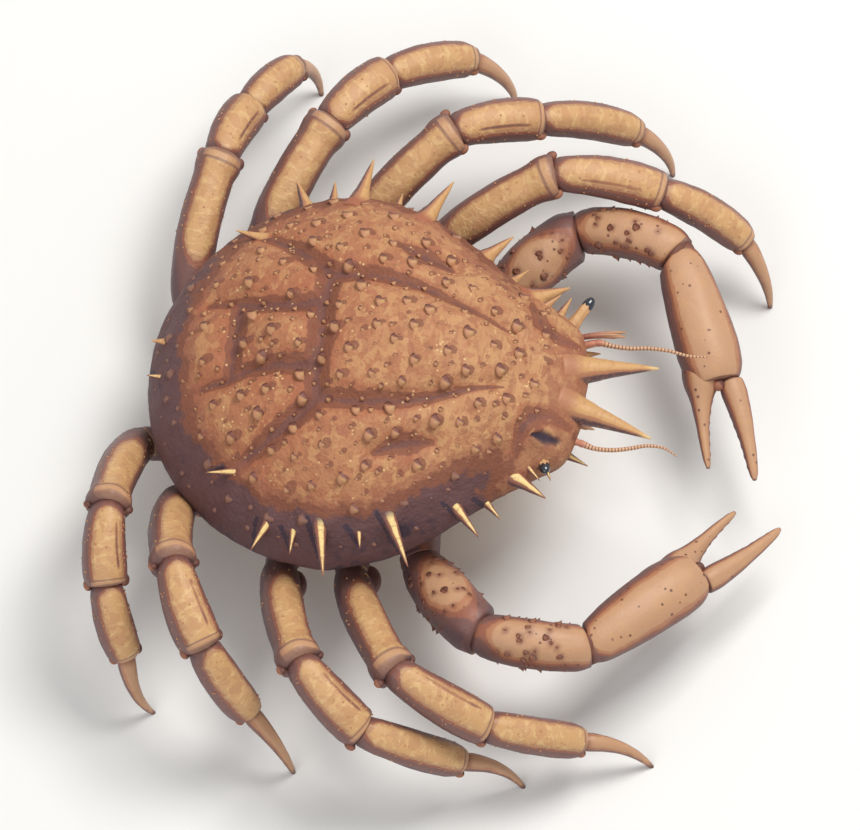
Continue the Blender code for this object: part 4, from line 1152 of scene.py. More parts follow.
def eye(side, blank, looks):
    """A short stalk with a long dark eye at its tip."""
    root, tip = (Vector(point) * MM for point in EYES[side])
    stations = np.linspace(0, 1, LIMB_RINGS + 1)
    radii = outline_radii(EYE_STALK, stations)
    stop = root.lerp(tip, EYE_STALK_SHARE)
    stalk = lay_tube(side + "_eye_stalk", blank, bowed_path(root, stop, stations, 0.03, UP), radii,
                     relief=shell_relief(0.05 * MM, 3), seed=2)
    finish_piece(stalk, looks["stalk"])
    deselect()
    bpy.ops.mesh.primitive_uv_sphere_add(segments=48, ring_count=28, radius=1, location=(0, 0, 0))
    ball = bpy.context.object
    ball.name = side + "_eye_ball"
    along = (tip - root).normalized()
    ball.data.transform(Matrix.Translation(tip - along * EYE_SETBACK) @ pointed(along) @ sized(*EYE_SIZE))
    finish_piece(ball, looks["eye"], [side + "_eye"])


def antenna(side, blank, looks):
    """A jointed root and a whip of small beads."""
    path = np.array(smooth_curve([np.array(point) * MM for point in ANTENNA_ROUTE[side]], WHIP_STEPS))
    far = np.linspace(0, 1, WHIP_RINGS + 1)
    radii = np.interp(far, np.linspace(0, 1, len(ANTENNA_RADII)), ANTENNA_RADII) * MM
    joints = 1 - 0.22 * np.exp(-((far % 0.09 - 0.045) / 0.006) ** 2)
    beads = 0.78 + 0.28 * np.abs(np.sin(far * math.pi * WHIP_BEADS)) ** 0.6
    radii *= np.where(far < ANTENNA_ROOT, joints, beads)
    whip = lay_tube(side + "_antenna_whip", blank, path, radii, seed=1)
    return finish_piece(whip, looks["antenna"], [side + "_antenna"])


def bristle_tuft(name, blank, root, end, material):
    """A small brush of bristles that fan out from one root."""
    rng = random.Random(5)
    stations = np.linspace(0, 1, BRISTLE_RINGS + 1)
    pieces = []
    for _ in range(BRISTLES):
        off = Vector((rng.uniform(-1, 1), rng.uniform(-1, 1), rng.uniform(-0.5, 0.5))) * BRISTLE_SPREAD
        tip = end + off + (end - root) * rng.uniform(-0.15, 0.08)
        path = bowed_path(root + off * 0.25, tip, stations, rng.uniform(0.02, 0.08), UP)
        radii = np.interp(stations, *zip(*BRISTLE_TAPER)) * MM
        pieces.append(lay_tube("bristle", blank, path, radii))
    return finish_piece(join(pieces, name), material)


def cut_height(x, top_x, foot_x):
    """Height of the sloping face or rear of the thorax at x."""
    return STERNUM_Z + (RIM_Z - STERNUM_Z) * (x - foot_x) / (top_x - foot_x)


def thorax(material):
    """The underside: a sternum in plates, with a sloping face and rear."""
    deselect()
    bpy.ops.mesh.primitive_uv_sphere_add(segments=200, ring_count=96, radius=1, location=(0, 0, 0))
    body = bpy.context.object
    body.name = "thorax_shell"
    unit = coordinates(body.data)
    turn = np.arctan2(unit[:, 1], unit[:, 0])
    polar = np.arccos(np.clip(unit[:, 2], -1, 1)) / math.pi
    share = np.clip(np.minimum(polar, 1 - polar) / STERNUM_TOP, 0, 1)
    wall = np.clip((polar - STERNUM_TOP) / STERNUM_WALL, 0, 1)
    power = 2 / STERNUM_SQUARENESS
    spread_x = np.copysign(np.abs(np.cos(turn)) ** power, np.cos(turn))
    spread_y = np.copysign(np.abs(np.sin(turn)) ** power, np.sin(turn))
    tuck = np.where(polar > 0.5, 1 - 0.16 * smooth_step(wall, 0.4, 1.0), 1.0)
    x = THORAX_CENTRE_X + spread_x * THORAX_HALF_LENGTH * share * tuck
    y = spread_y * THORAX_HALF_WIDTH * share * tuck
    top = RIM_Z - GAP
    z = top + (STERNUM_Z - top) * wall
    floor = np.maximum(cut_height(x, FACE_TOP_X, FACE_FOOT_X), cut_height(x, TAIL_TOP_X, TAIL_FOOT_X))
    z = np.minimum(np.maximum(z, floor), top)
    below = polar > 0.6
    seams = np.zeros(len(x))
    for seam in STERNUM_SEAMS:
        seams = np.maximum(seams, np.exp(-((x / MM - seam - np.abs(y / MM) * 0.12) / 1.2) ** 2))
    middle = np.exp(-(np.abs(y) / MM / 11.5) ** 8)
    swell = 0.6 * MM * (1 - seams) * (1 - middle) - 0.5 * MM * seams
    z = np.where(below, z + np.clip(-swell, -0.2 * MM, 1), z)
    set_coordinates(body.data, np.stack((x, y, z), axis=-1))
    store(body.data, "groove", np.where(below, seams, 0))
    return finish_piece(body, material, ["thorax"])


def face_normal():
    """The way that the sloping face of the thorax looks."""
    return Vector((RIM_Z - STERNUM_Z, 0, FACE_FOOT_X - FACE_TOP_X)).normalized()


def tail_normal():
    """The way that the sloping rear of the thorax looks."""
    return Vector((STERNUM_Z - RIM_Z, 0, TAIL_TOP_X - TAIL_FOOT_X)).normalized()


def fine_plate(name, length_steps, width_steps):
    """A block cut into a fine grid on its broad faces."""
    deselect()
    bpy.ops.mesh.primitive_grid_add(x_subdivisions=length_steps, y_subdivisions=width_steps, size=1)
    obj = bpy.context.object
    obj.name = name
    bpy.ops.object.mode_set(mode="EDIT")
    bpy.ops.mesh.select_all(action="SELECT")
    bpy.ops.mesh.extrude_region_move(TRANSFORM_OT_translate={"value": (0, 0, 1)})
    bpy.ops.mesh.select_all(action="SELECT")
    bpy.ops.mesh.normals_make_consistent(inside=False)
    bpy.ops.object.mode_set(mode="OBJECT")
    return obj


def abdomen(material):
    """Seven plates folded flat under the sternum and up the sloping rear."""
    tail = fine_plate("abdomen_plates", 168, 40)
    unit = coordinates(tail.data)
    t = unit[:, 0] + 0.5
    raised = unit[:, 2] > 0.5
    front = np.array((ABDOMEN_FRONT, 0, STERNUM_Z - GAP))
    corner = np.array((TAIL_FOOT_X - 0.2 * MM, 0, STERNUM_Z - GAP))
    top = np.array(Vector((TAIL_TOP_X, 0, RIM_Z)) + tail_normal() * GAP)
    top -= (top - corner) / np.linalg.norm(top - corner) * 1.5 * MM
    under = np.linalg.norm(corner - front)
    total = under + np.linalg.norm(top - corner)
    run = t * total
    first = np.clip(run / under, 0, 1)[:, None]
    second = np.clip((run - under) / (total - under), 0, 1)[:, None]
    place = front + (corner - front) * first + (top - corner) * second
    bend = smooth_step(run, under - 4 * MM, under + 4 * MM)[:, None]
    out = np.array((0, 0, -1)) * (1 - bend) + np.array(tail_normal()) * bend
    out /= np.linalg.norm(out, axis=1)[:, None]
    width = (4.5 + 6.0 * np.minimum(1, t * 1.6) ** 0.8) * MM
    wave = np.abs(np.sin(math.pi * t * ABDOMEN_SEGMENTS))
    swell = wave ** 0.45
    width = width * (0.94 + 0.06 * swell)
    crown = 1 - 1.2 * unit[:, 1] ** 2
    thick = ABDOMEN_THICKNESS * (0.62 + 0.38 * swell) * crown
    points = place + out * np.where(raised, thick, 0)[:, None]
    points[:, 1] = 2 * unit[:, 1] * width
    set_coordinates(tail.data, points)
    store(tail.data, "groove", np.exp(-(wave / 0.22) ** 2))
    fix_normals(tail)
    return finish_piece(tail, material, ["abdomen"])


def epistome(material):
    """Closes the front between the carapace and the mouth plates."""
    deselect()
    bpy.ops.mesh.primitive_uv_sphere_add(segments=64, ring_count=24, radius=1, location=(0, 0, 0))
    plate = bpy.context.object
    plate.name = "epistome"
    plate.data.transform(Matrix.Translation(EPISTOME_CENTRE) @ sized(*EPISTOME_SIZE))
    return finish_piece(plate, material)


def fix_normals(obj):
    """Turns all faces outwards."""
    deselect()
    obj.select_set(True)
    bpy.context.view_layer.objects.active = obj
    bpy.ops.object.mode_set(mode="EDIT")
    bpy.ops.mesh.select_all(action="SELECT")
    bpy.ops.mesh.normals_make_consistent(inside=False)
    bpy.ops.object.mode_set(mode="OBJECT")


def maxilliped(side, material):
    """A mouth plate with one seam across it and one along it."""
    plate = fine_plate(side + "_mouth_plate", 60, 32)
    unit = coordinates(plate.data)
    normal = np.array(face_normal())
    head = np.array((FACE_TOP_X, 0, RIM_Z))
    down = np.array((FACE_FOOT_X, 0, STERNUM_Z)) - head
    down /= np.linalg.norm(down)
    sign = 1 if side == "left" else -1
    start = head + down * 2.5 * MM + normal * GAP
    t = unit[:, 0] + 0.5
    width = MAXILLIPED_HALF_WIDTH * (1 - 0.35 * np.abs(2 * t - 0.7) ** 2.2)
    seam = np.exp(-((t - 0.42) / 0.02) ** 2)
    inner = np.exp(-((unit[:, 1] * sign + 0.12) / 0.03) ** 2)
    thick = MAXILLIPED_THICKNESS * (1 - 0.6 * np.abs(2 * t - 1) ** 3) * (1 - 1.6 * unit[:, 1] ** 2)
    thick = thick - 0.7 * MM * np.maximum(seam, inner * 0.7)
    raised = np.where(unit[:, 2] > 0.5, thick, 0)[:, None]
    points = start + down * (t * MAXILLIPED_LENGTH)[:, None] + normal * raised
    points[:, 1] = sign * (MAXILLIPED_HALF_WIDTH + 2 * GAP) + 2 * unit[:, 1] * width
    set_coordinates(plate.data, points)
    store(plate.data, "groove", np.maximum(seam, inner))
    fix_normals(plate)
    return finish_piece(plate, material, [side + "_maxilliped"])


# Materials.

def paint(code):
    """A colour written as in the picture, turned into Blender's linear values."""
    parts = [int(code[i:i + 2], 16) / 255 for i in (0, 2, 4)]
    return tuple(c / 12.92 if c <= 0.04045 else ((c + 0.055) / 1.055) ** 2.4 for c in parts) + (1,)


REAR = paint("A9664A")
FRONT = paint("C29068")
OCHRE = paint("B67E5C")
GOLD = paint("CFA06A")
RUST = paint("99604B")
WINE = paint("82503F")
PLUM = paint("664A4D")
NIGHT = paint("453845")
DUSK = paint("7C5650")
CREAM = paint("E6C48C")
HONEY = paint("D0A270")
TAN = paint("BA8B66")
ROSE_TAN = paint("C49673")
ROSE = paint("C07E6A")
UMBER = paint("6A4238")
BUFF = paint("D3B48A")
# The painted highlight along the near spines.
SPINE_HIGHLIGHT = paint("EED08A")
# Painted shade on the carapace warts.
WART_SHADE_COLOUR = paint("7A4A40")
EYE_DARK = paint("161C26")
EYE_SHEEN = paint("2C3440")
WHIP_PALE = paint("D9AE88")
ROOT_RED = paint("A8604C")
ROOT_PINK = paint("E0A080")


def join_or_set(tree, socket, value):
    if isinstance(value, bpy.types.NodeSocket):
        tree.links.new(value, socket)
    else:
        socket.default_value = value


def put(tree, kind, settings=(), **sockets):
    """A node with its settings, and with its sockets joined or set."""
    node = tree.nodes.new(kind)
    for key, value in dict(settings).items():
        setattr(node, key, value)
    for key, value in sockets.items():
        join_or_set(tree, node.inputs[key.replace("_", " ")], value)
    return node


def maths(tree, operation, first, second=0.0):
    node = tree.nodes.new("ShaderNodeMath")
    node.operation = operation
    for socket, value in zip(node.inputs, (first, second)):
        join_or_set(tree, socket, value)
    return node.outputs[0]


def step(tree, value, low, high):
    """0 below low, 1 above high, smooth between."""
    node = put(tree, "ShaderNodeMapRange", {"interpolation_type": "SMOOTHSTEP"},
               Value=value, From_Min=low, From_Max=high)
    return node.outputs["Result"]


def mix(tree, factor, under, over):
    """One colour laid over another. In this node the colours are sockets 6 and 7, and the result is output 2."""
    node = tree.nodes.new("ShaderNodeMix")
    node.data_type = "RGBA"
    for number, value in ((0, factor), (6, under), (7, over)):
        join_or_set(tree, node.inputs[number], value)
    return node.outputs[2]


def attribute(tree, name, output="Fac"):
    return put(tree, "ShaderNodeAttribute", {"attribute_name": name}).outputs[output]


def noise_of(tree, vector, scale, detail):
    return put(tree, "ShaderNodeTexNoise", Vector=vector, Scale=scale, Detail=detail, Roughness=0.55).outputs["Fac"]


def cells_of(tree, vector, scale, output="Distance"):
    return put(tree, "ShaderNodeTexVoronoi", Vector=vector, Scale=scale).outputs[output]


def vector_maths(tree, operation, first, second):
    """ADD and MULTIPLY take two vectors, and SCALE takes a vector and a number."""
    node = put(tree, "ShaderNodeVectorMath", {"operation": operation})
    join_or_set(tree, node.inputs[0], first)
    join_or_set(tree, node.inputs["Scale"] if operation == "SCALE" else node.inputs[1], second)
    return node.outputs["Vector"]


def new_group(name, outputs):
    """A group that takes a place and a scale. Gives its tree, the scaled place and its outputs' sockets."""
    tree = bpy.data.node_groups.new(name, "ShaderNodeTree")
    for label, kind in (("Vector", "NodeSocketVector"), ("Scale", "NodeSocketFloat")):
        tree.interface.new_socket(name=label, in_out="INPUT", socket_type=kind)
    for label in outputs:
        tree.interface.new_socket(name=label, in_out="OUTPUT", socket_type="NodeSocketFloat")
    start = tree.nodes.new("NodeGroupInput")
    place = vector_maths(tree, "SCALE", start.outputs["Vector"], start.outputs["Scale"])
    return tree, place, tree.nodes.new("NodeGroupOutput").inputs


def mottle_group():
    """Soft patches, flat ragged patches as from a brush, brush strokes and small pale specks that serve as painted
    highlights.
    """
    tree, place, ends = new_group("Shell mottle", ["Patches", "Dabs", "Strokes", "Specks"])
    patches = noise_of(tree, place, 90, 3)
    tree.links.new(step(tree, patches, 0.35, 0.65), ends["Patches"])
    wobble = put(tree, "ShaderNodeTexNoise", Vector=place, Scale=260, Detail=2.0).outputs["Color"]
    moved = vector_maths(tree, "ADD", place, vector_maths(tree, "SCALE", wobble, 0.007))
    dabs = put(tree, "ShaderNodeSeparateColor", Color=cells_of(tree, moved, 300, "Color")).outputs["Red"]
    tree.links.new(dabs, ends["Dabs"])
    stretched = vector_maths(tree, "MULTIPLY", place, (0.38, 1.0, 1.0))
    strokes = put(tree, "ShaderNodeTexNoise", Vector=stretched, Scale=520, Detail=2.0, Distortion=0.8).outputs["Fac"]
    tree.links.new(step(tree, strokes, 0.54, 0.60), ends["Strokes"])
    near = turned(tree, step(tree, cells_of(tree, place, 420), 0.12, 0.24))
    picked = step(tree, noise_of(tree, place, 160, 1), 0.52, 0.6)
    tree.links.new(maths(tree, "MULTIPLY", near, picked), ends["Specks"])
    return tree


def grain_group():
    """Height of the fine pebbling and pores of the shell."""
    tree, place, ends = new_group("Shell grain", ["Height"])
    pebbles = scaled(tree, cells_of(tree, place, 700), -0.7)
    pores = scaled(tree, noise_of(tree, place, 1600, 2), 0.5)
    tree.links.new(maths(tree, "ADD", pebbles, pores), ends["Height"])
    return tree


GROUPS = {}


def use_group(tree, name, place, scale):
    """Puts a shared pattern in a material, at its own scale."""
    return put(tree, "ShaderNodeGroup", {"node_tree": GROUPS[name]}, Vector=place, Scale=scale)


def start_material(name, roughness, coat=0.0):
    """A material with the shader's plain values set."""
    material = bpy.data.materials.new(name)
    material.use_nodes = True
    tree = material.node_tree
    shader = tree.nodes["Principled BSDF"]
    shader.inputs["Roughness"].default_value = roughness
    shader.inputs["Coat Weight"].default_value = coat
    shader.inputs["Coat Roughness"].default_value = 0.35
    return material, tree, shader


def bump(tree, shader, height, strength, distance):
    node = put(tree, "ShaderNodeBump", Height=height, Strength=strength, Distance=distance)
    tree.links.new(node.outputs["Normal"], shader.inputs["Normal"])


def pebbled(tree, shader, place, scale, strength, distance):
    """The shell's fine grain as bump."""
    bump(tree, shader, use_group(tree, "grain", place, scale).outputs["Height"], strength, distance)


def object_place(tree):
    return put(tree, "ShaderNodeTexCoord").outputs["Object"]


def scaled(tree, value, factor):
    return maths(tree, "MULTIPLY", value, factor)


def turned(tree, value):
    return maths(tree, "SUBTRACT", 1.0, value)


def wash(tree, colour, mask, strength, over):
    """Lays a paint over a colour where a mask says, at a strength."""
    return mix(tree, scaled(tree, mask, strength), colour, over)


def layers(tree, colour, mask, *paints):
    """Washes that come in one after another as a mask rises: (low, high, strength, paint)."""
    for low, high, strength, over in paints:
        colour = wash(tree, colour, step(tree, mask, low, high), strength, over)
    return colour


def painted_light_band(tree, limb, fine, broad_waves, fine_waves):
    """How far a place lies into a limb's painted highlight band: lower where the limb is dark, and with a ragged
    edge.
    """
    lit_side = maths(tree, "SUBTRACT", attribute(tree, "lit_side"), scaled(tree, attribute(tree, "dark"), 0.55))
    return ragged(tree, ragged(tree, lit_side, noise_of(tree, limb, 70, 3), broad_waves), fine, fine_waves)


def ragged(tree, value, wave, amount):
    """A mask whose edge wanders with a noise."""
    return maths(tree, "ADD", value, scaled(tree, maths(tree, "SUBTRACT", wave, 0.5), amount))


def swapped(tree, vector):
    """Turns a vector's first two axes about, so that strokes run across and not along."""
    axes = put(tree, "ShaderNodeSeparateXYZ", Vector=vector).outputs
    return put(tree, "ShaderNodeCombineXYZ", X=axes["Y"], Y=axes["X"], Z=axes["Z"]).outputs["Vector"]


def carapace_finish():
    """Tawny mottled shell with painted shade in the grooves and eye slit, painted shadows beside the warts, painted
    highlights on the lobes and in pale specks, and a plum flank that is partly painted shade.
    """
    material, tree, shader = start_material("Crab carapace", 0.66)
    shader.inputs["Specular IOR Level"].default_value = 0.3
    place = object_place(tree)
    mottle = use_group(tree, "mottle", swapped(tree, place), 1.0).outputs
    colour = mix(tree, attribute(tree, "ahead"), REAR, FRONT)
    colour = wash(tree, colour, mottle["Patches"], 0.45, OCHRE)
    # Painted highlight on the raised lobes.
    colour = wash(tree, colour, attribute(tree, "lobe"), 0.25, HONEY)
    colour = layers(tree, colour, mottle["Dabs"], (0.66, 0.70, 0.35, REAR), (0.86, 0.90, 0.30, RUST))
    colour = wash(tree, colour, turned(tree, step(tree, mottle["Dabs"], 0.24, 0.28)), 0.35, HONEY)
    colour = wash(tree, colour, mottle["Strokes"], 0.35, RUST)
    broad = noise_of(tree, place, 60, 4)
    fine = noise_of(tree, place, 240, 3)
    # Painted shade in the grooves, with a ragged edge.
    groove = ragged(tree, ragged(tree, attribute(tree, "groove"), broad, 0.5), fine, 0.4)
    colour = layers(tree, colour, groove, (0.15, 0.30, 0.5, REAR), (0.38, 0.50, 0.8, WINE), (0.85, 0.95, 0.5, PLUM))
    # Painted shadows beside the warts.
    wart_shadow_marks = ragged(tree, attribute(tree, "wart"), fine, 0.8)
    colour = layers(tree, colour, wart_shadow_marks, (0.42, 0.52, 0.75, WINE))
    # Pale specks, painted highlights on the shell.
    colour = wash(tree, colour, mottle["Specks"], 0.8, CREAM)
    # The plum flank, partly painted shade, with the painted shadows beside the near spines.
    edge = ragged(tree, ragged(tree, attribute(tree, "flank"), broad, 0.5), fine, 0.25)
    colour = layers(tree, colour, edge, (0.12, 0.20, 0.6, RUST), (0.26, 0.34, 0.85, WINE), (0.44, 0.54, 0.9, PLUM),
                    (0.74, 0.88, 0.9, NIGHT))
    # Near-black painted shade in the eye slit.
    colour = mix(tree, attribute(tree, "slit"), colour, NIGHT)
    tree.links.new(colour, shader.inputs["Base Color"])
    pebbled(tree, shader, place, 1.0, 0.6, 0.0006)
    tree.links.new(maths(tree, "ADD", 0.58, scaled(tree, mottle["Patches"], 0.18)), shader.inputs["Roughness"])
    return material


def spine_finish(name, root_colour, body_colour, highlight_colour, tip_colour, low, high):
    """A spine with a painted highlight along the side that faces the painted light, and plum painted shade opposite.
    The highlight fades in from low to high.
    """
    material, tree, shader = start_material(name, 0.5, 0.1)
    place = object_place(tree)
    mottle = use_group(tree, "mottle", swapped(tree, attribute(tree, "limb", "Vector")), 1.3).outputs
    far = attribute(tree, "far")
    lit_side = ragged(tree, attribute(tree, "lit_side"), noise_of(tree, place, 300, 2), 0.25)
    # Plum painted shade away from the painted light, then the painted highlight along it.
    colour = mix(tree, step(tree, lit_side, low - 0.35, low - 0.15), PLUM, body_colour)
    colour = layers(tree, colour, lit_side, (low, high, 1, highlight_colour))
    colour = wash(tree, colour, mottle["Strokes"], 0.35, body_colour)
    colour = layers(tree, colour, far, (0.84, 0.97, 1, tip_colour))
    colour = wash(tree, colour, turned(tree, step(tree, far, 0.10, 0.26)), 1, root_colour)
    tree.links.new(colour, shader.inputs["Base Color"])
    pebbled(tree, shader, place, 1.3, 0.35, 0.0004)
    return material


def wart_finish(name, foot, head, dark):
    """Warts and granules, with painted shade on one side and, near the dome's edge, the flank's dusk that is partly
    painted shade.
    """
    material, tree, shader = start_material(name, 0.55)
    place = object_place(tree)
    colour = mix(tree, step(tree, attribute(tree, "tip"), 0.05, 0.7), foot, head)
    colour = wash(tree, colour, use_group(tree, "mottle", place, 1.5).outputs["Patches"], 0.35, OCHRE)
    # Painted shade on the side of each wart that faces WART_SHADE.
    colour = mix(tree, step(tree, attribute(tree, "shade"), -0.25, 0.05), colour, dark)
    colour = layers(tree, colour, attribute(tree, "flank"), (0.4, 0.75, 0.75, DUSK))
    tree.links.new(colour, shader.inputs["Base Color"])
    pebbled(tree, shader, place, 2.0, 0.3, 0.0003)
    return material


def leg_finish():
    """A honey painted highlight band with a rust border along a limb in plum painted shade, a furrow, a collar and
    dark edges.
    """
    material, tree, shader = start_material("Crab leg", 0.5, 0.08)
    limb = attribute(tree, "limb", "Vector")
    far = attribute(tree, "far")
    mottle = use_group(tree, "mottle", swapped(tree, limb), 0.9).outputs
    fine = noise_of(tree, limb, 420, 2)
    lit_side = painted_light_band(tree, limb, fine, 0.16, 0.16)
    # Plum and dusk painted shade away from the painted light, rust and tan nearer it, and a honey painted highlight
    # along it.
    painted_highlight = step(tree, lit_side, 0.78, 0.84)
    colour = mix(tree, step(tree, lit_side, 0.0, 0.35), PLUM, DUSK)
    colour = layers(tree, colour, lit_side, (0.58, 0.62, 1, RUST), (0.69, 0.73, 1, TAN))
    colour = mix(tree, painted_highlight, colour, HONEY)
    strokes = maths(tree, "MULTIPLY", mottle["Strokes"], step(tree, lit_side, 0.72, 0.8))
    colour = wash(tree, colour, strokes, 0.4, CREAM)
    dabs = maths(tree, "MULTIPLY", step(tree, mottle["Dabs"], 0.62, 0.68), painted_highlight)
    colour = wash(tree, colour, dabs, 0.35, OCHRE)
    furrow = ragged(tree, attribute(tree, "furrow"), fine, 0.4)
    colour = layers(tree, colour, furrow, (0.4, 0.55, 0.7, RUST), (0.7, 0.85, 0.7, PLUM))
    colour = wash(tree, colour, turned(tree, step(tree, lit_side, -1.2, -0.8)), 1, TAN)
    # A rose-tan collar near the end, laid only on the painted-lit side: partly its colour, partly painted highlight.
    collar = step(tree, ragged(tree, far, fine, 0.02), 0.945, 0.955)
    lit = step(tree, attribute(tree, "lit_side"), 0.45, 0.6)
    colour = wash(tree, colour, maths(tree, "MULTIPLY", collar, lit), 0.7, ROSE_TAN)
    edges = maths(tree, "MULTIPLY", step(tree, far, 0.925, 0.94), turned(tree, step(tree, far, 0.948, 0.956)))
    edges = maths(tree, "ADD", edges, step(tree, far, 0.988, 0.996))
    edges = maths(tree, "ADD", edges, turned(tree, step(tree, far, 0.006, 0.02)))
    colour = wash(tree, colour, edges, 0.7, DUSK)
    tree.links.new(colour, shader.inputs["Base Color"])
    wrinkles = maths(tree, "ADD", use_group(tree, "grain", object_place(tree), 1.2).outputs["Height"],
                     scaled(tree, mottle["Strokes"], 0.6))
    bump(tree, shader, wrinkles, 0.35, 0.0004)
    return material


def toe_finish():
    """A claw-like toe with a painted highlight along its upper side, dusk painted shade opposite, and a dark tip."""
    material, tree, shader = start_material("Crab toe", 0.42, 0.15)
    limb = attribute(tree, "limb", "Vector")
    far = attribute(tree, "far")
    lit_side = ragged(tree, attribute(tree, "lit_side"), noise_of(tree, limb, 260, 2), 0.45)
    # Dusk painted shade away from the painted light, ochre nearer it, and a rose-tan painted highlight along it.
    colour = mix(tree, step(tree, lit_side, 0.50, 0.60), DUSK, OCHRE)
    colour = layers(tree, colour, lit_side, (0.76, 0.86, 1, ROSE_TAN))
    strokes = maths(tree, "MULTIPLY", use_group(tree, "mottle", limb, 1.6).outputs["Strokes"], far)
    colour = wash(tree, colour, strokes, 0.5, HONEY)
    colour = wash(tree, colour, turned(tree, step(tree, far, 0.03, 0.12)), 0.7, RUST)
    colour = layers(tree, colour, far, (0.88, 1.0, 1, UMBER))
    tree.links.new(colour, shader.inputs["Base Color"])
    pebbled(tree, shader, object_place(tree), 2.0, 0.2, 0.0002)
    return material


def claw_finish():
    """A rosy painted highlight band along a limb in plum painted shade, with small dark dots and painted shade round
    the warts.
    """
    material, tree, shader = start_material("Crab claw", 0.5, 0.05)
    place = object_place(tree)
    limb = attribute(tree, "limb", "Vector")
    far = attribute(tree, "far")
    mottle = use_group(tree, "mottle", limb, 0.8).outputs
    lit_side = painted_light_band(tree, limb, noise_of(tree, limb, 420, 2), 0.22, 0.10)
    pale = step(tree, lit_side, 0.68, 0.74)
    # Plum and dusk painted shade away from the painted light, rust and ochre nearer it, and a rose-tan painted
    # highlight along it.
    colour = mix(tree, step(tree, lit_side, 0.0, 0.35), PLUM, DUSK)
    colour = layers(tree, colour, lit_side, (0.44, 0.50, 1, RUST), (0.56, 0.62, 1, OCHRE))
    colour = mix(tree, pale, colour, ROSE_TAN)
    colour = wash(tree, colour, turned(tree, step(tree, lit_side, -1.2, -0.8)), 1, TAN)
    dabs = maths(tree, "MULTIPLY", turned(tree, step(tree, mottle["Dabs"], 0.3, 0.34)), pale)
    colour = wash(tree, colour, dabs, 0.2, HONEY)
    dots = turned(tree, step(tree, cells_of(tree, place, 290), 0.14, 0.20))
    chosen = step(tree, noise_of(tree, place, 75, 1), 0.44, 0.48)
    colour = wash(tree, colour, maths(tree, "MULTIPLY", dots, chosen), 0.85, UMBER)
    # Painted shade round the roots of the arm's warts.
    colour = wash(tree, colour, attribute(tree, "wart"), 0.7, WINE)
    rims = maths(tree, "ADD", step(tree, far, 0.982, 0.992), turned(tree, step(tree, far, 0.008, 0.02)))
    colour = wash(tree, colour, rims, 0.7, DUSK)
    tree.links.new(colour, shader.inputs["Base Color"])
    pebbled(tree, shader, place, 1.2, 0.25, 0.0004)
    return material


def bristle_finish():
    material, tree, shader = start_material("Bristles", 0.5)
    colour = mix(tree, noise_of(tree, attribute(tree, "limb", "Vector"), 900, 2), ROSE, WINE)
    colour = layers(tree, colour, attribute(tree, "far"), (0.2, 1.0, 1, ROSE_TAN))
    tree.links.new(colour, shader.inputs["Base Color"])
    return material


def underside_finish():
    material, tree, shader = start_material("Crab underside", 0.55)
    place = object_place(tree)
    mottle = use_group(tree, "mottle", place, 0.8).outputs
    colour = mix(tree, scaled(tree, mottle["Patches"], 0.5), BUFF, OCHRE)
    colour = wash(tree, colour, attribute(tree, "groove"), 0.7, RUST)
    # Pale specks, painted highlights.
    colour = wash(tree, colour, mottle["Specks"], 0.4, CREAM)
    tree.links.new(colour, shader.inputs["Base Color"])
    pebbled(tree, shader, place, 1.0, 0.35, 0.0004)
    return material


def skin_finish():
    material, tree, shader = start_material("Joint skin", 0.65)
    colour = mix(tree, noise_of(tree, object_place(tree), 300, 2), UMBER, WINE)
    tree.links.new(colour, shader.inputs["Base Color"])
    return material


def eye_finish():
    material, tree, shader = start_material("Crab eye", 0.12, 1.0)
    shader.inputs["Coat Roughness"].default_value = 0.05
    cells = cells_of(tree, object_place(tree), 5200)
    tree.links.new(mix(tree, cells, EYE_DARK, EYE_SHEEN), shader.inputs["Base Color"])
    bump(tree, shader, cells, 0.1, 0.00005)
    return material


def antenna_finish():
    """A mottled pink root, then a whip with a pale ring on each bead."""
    material, tree, shader = start_material("Crab antenna", 0.45)
    far = attribute(tree, "far")
    band = maths(tree, "ABSOLUTE", maths(tree, "SINE", scaled(tree, far, math.pi * WHIP_BEADS)))
    whip = mix(tree, step(tree, band, 0.3, 0.75), WINE, WHIP_PALE)
    root = mix(tree, noise_of(tree, attribute(tree, "limb", "Vector"), 500, 3), ROOT_RED, ROOT_PINK)
    tree.links.new(mix(tree, step(tree, far, 0.24, 0.3), root, whip), shader.inputs["Base Color"])
    return material


# Stage.

def studio():
    """A plain pale floor and sky, with the lamps."""
    deselect()
    bpy.ops.mesh.primitive_plane_add(size=FLOOR_SIZE, location=(0, 0, 0))
    floor = bpy.context.object
    floor.name = "studio_floor"
    material, _, shader = start_material("Pale floor", 0.9)
    shader.inputs["Base Color"].default_value = FLOOR_COLOUR
    floor.data.materials.append(material)
    world = bpy.data.worlds.new("Studio")
    world.use_nodes = True
    sky = world.node_tree.nodes["Background"]
    sky.inputs["Color"].default_value = SKY_COLOUR
    sky.inputs["Strength"].default_value = SKY_STRENGTH
    bpy.context.scene.world = world
    bpy.context.scene.view_settings.view_transform = "Standard"
    for name, values in LAMPS.items():
        lamp(name, *values)


def lamp(name, place, power, size, colour):
    """A square soft lamp that looks at the middle of the floor."""
    light = bpy.data.lights.new(name, "AREA")
    light.energy = power
    light.size = size
    light.color = colour
    obj = bpy.data.objects.new(name, light)
    obj.location = place
    obj.rotation_euler = (-Vector(place)).to_track_quat("-Z", "Y").to_euler()
    bpy.context.scene.collection.objects.link(obj)


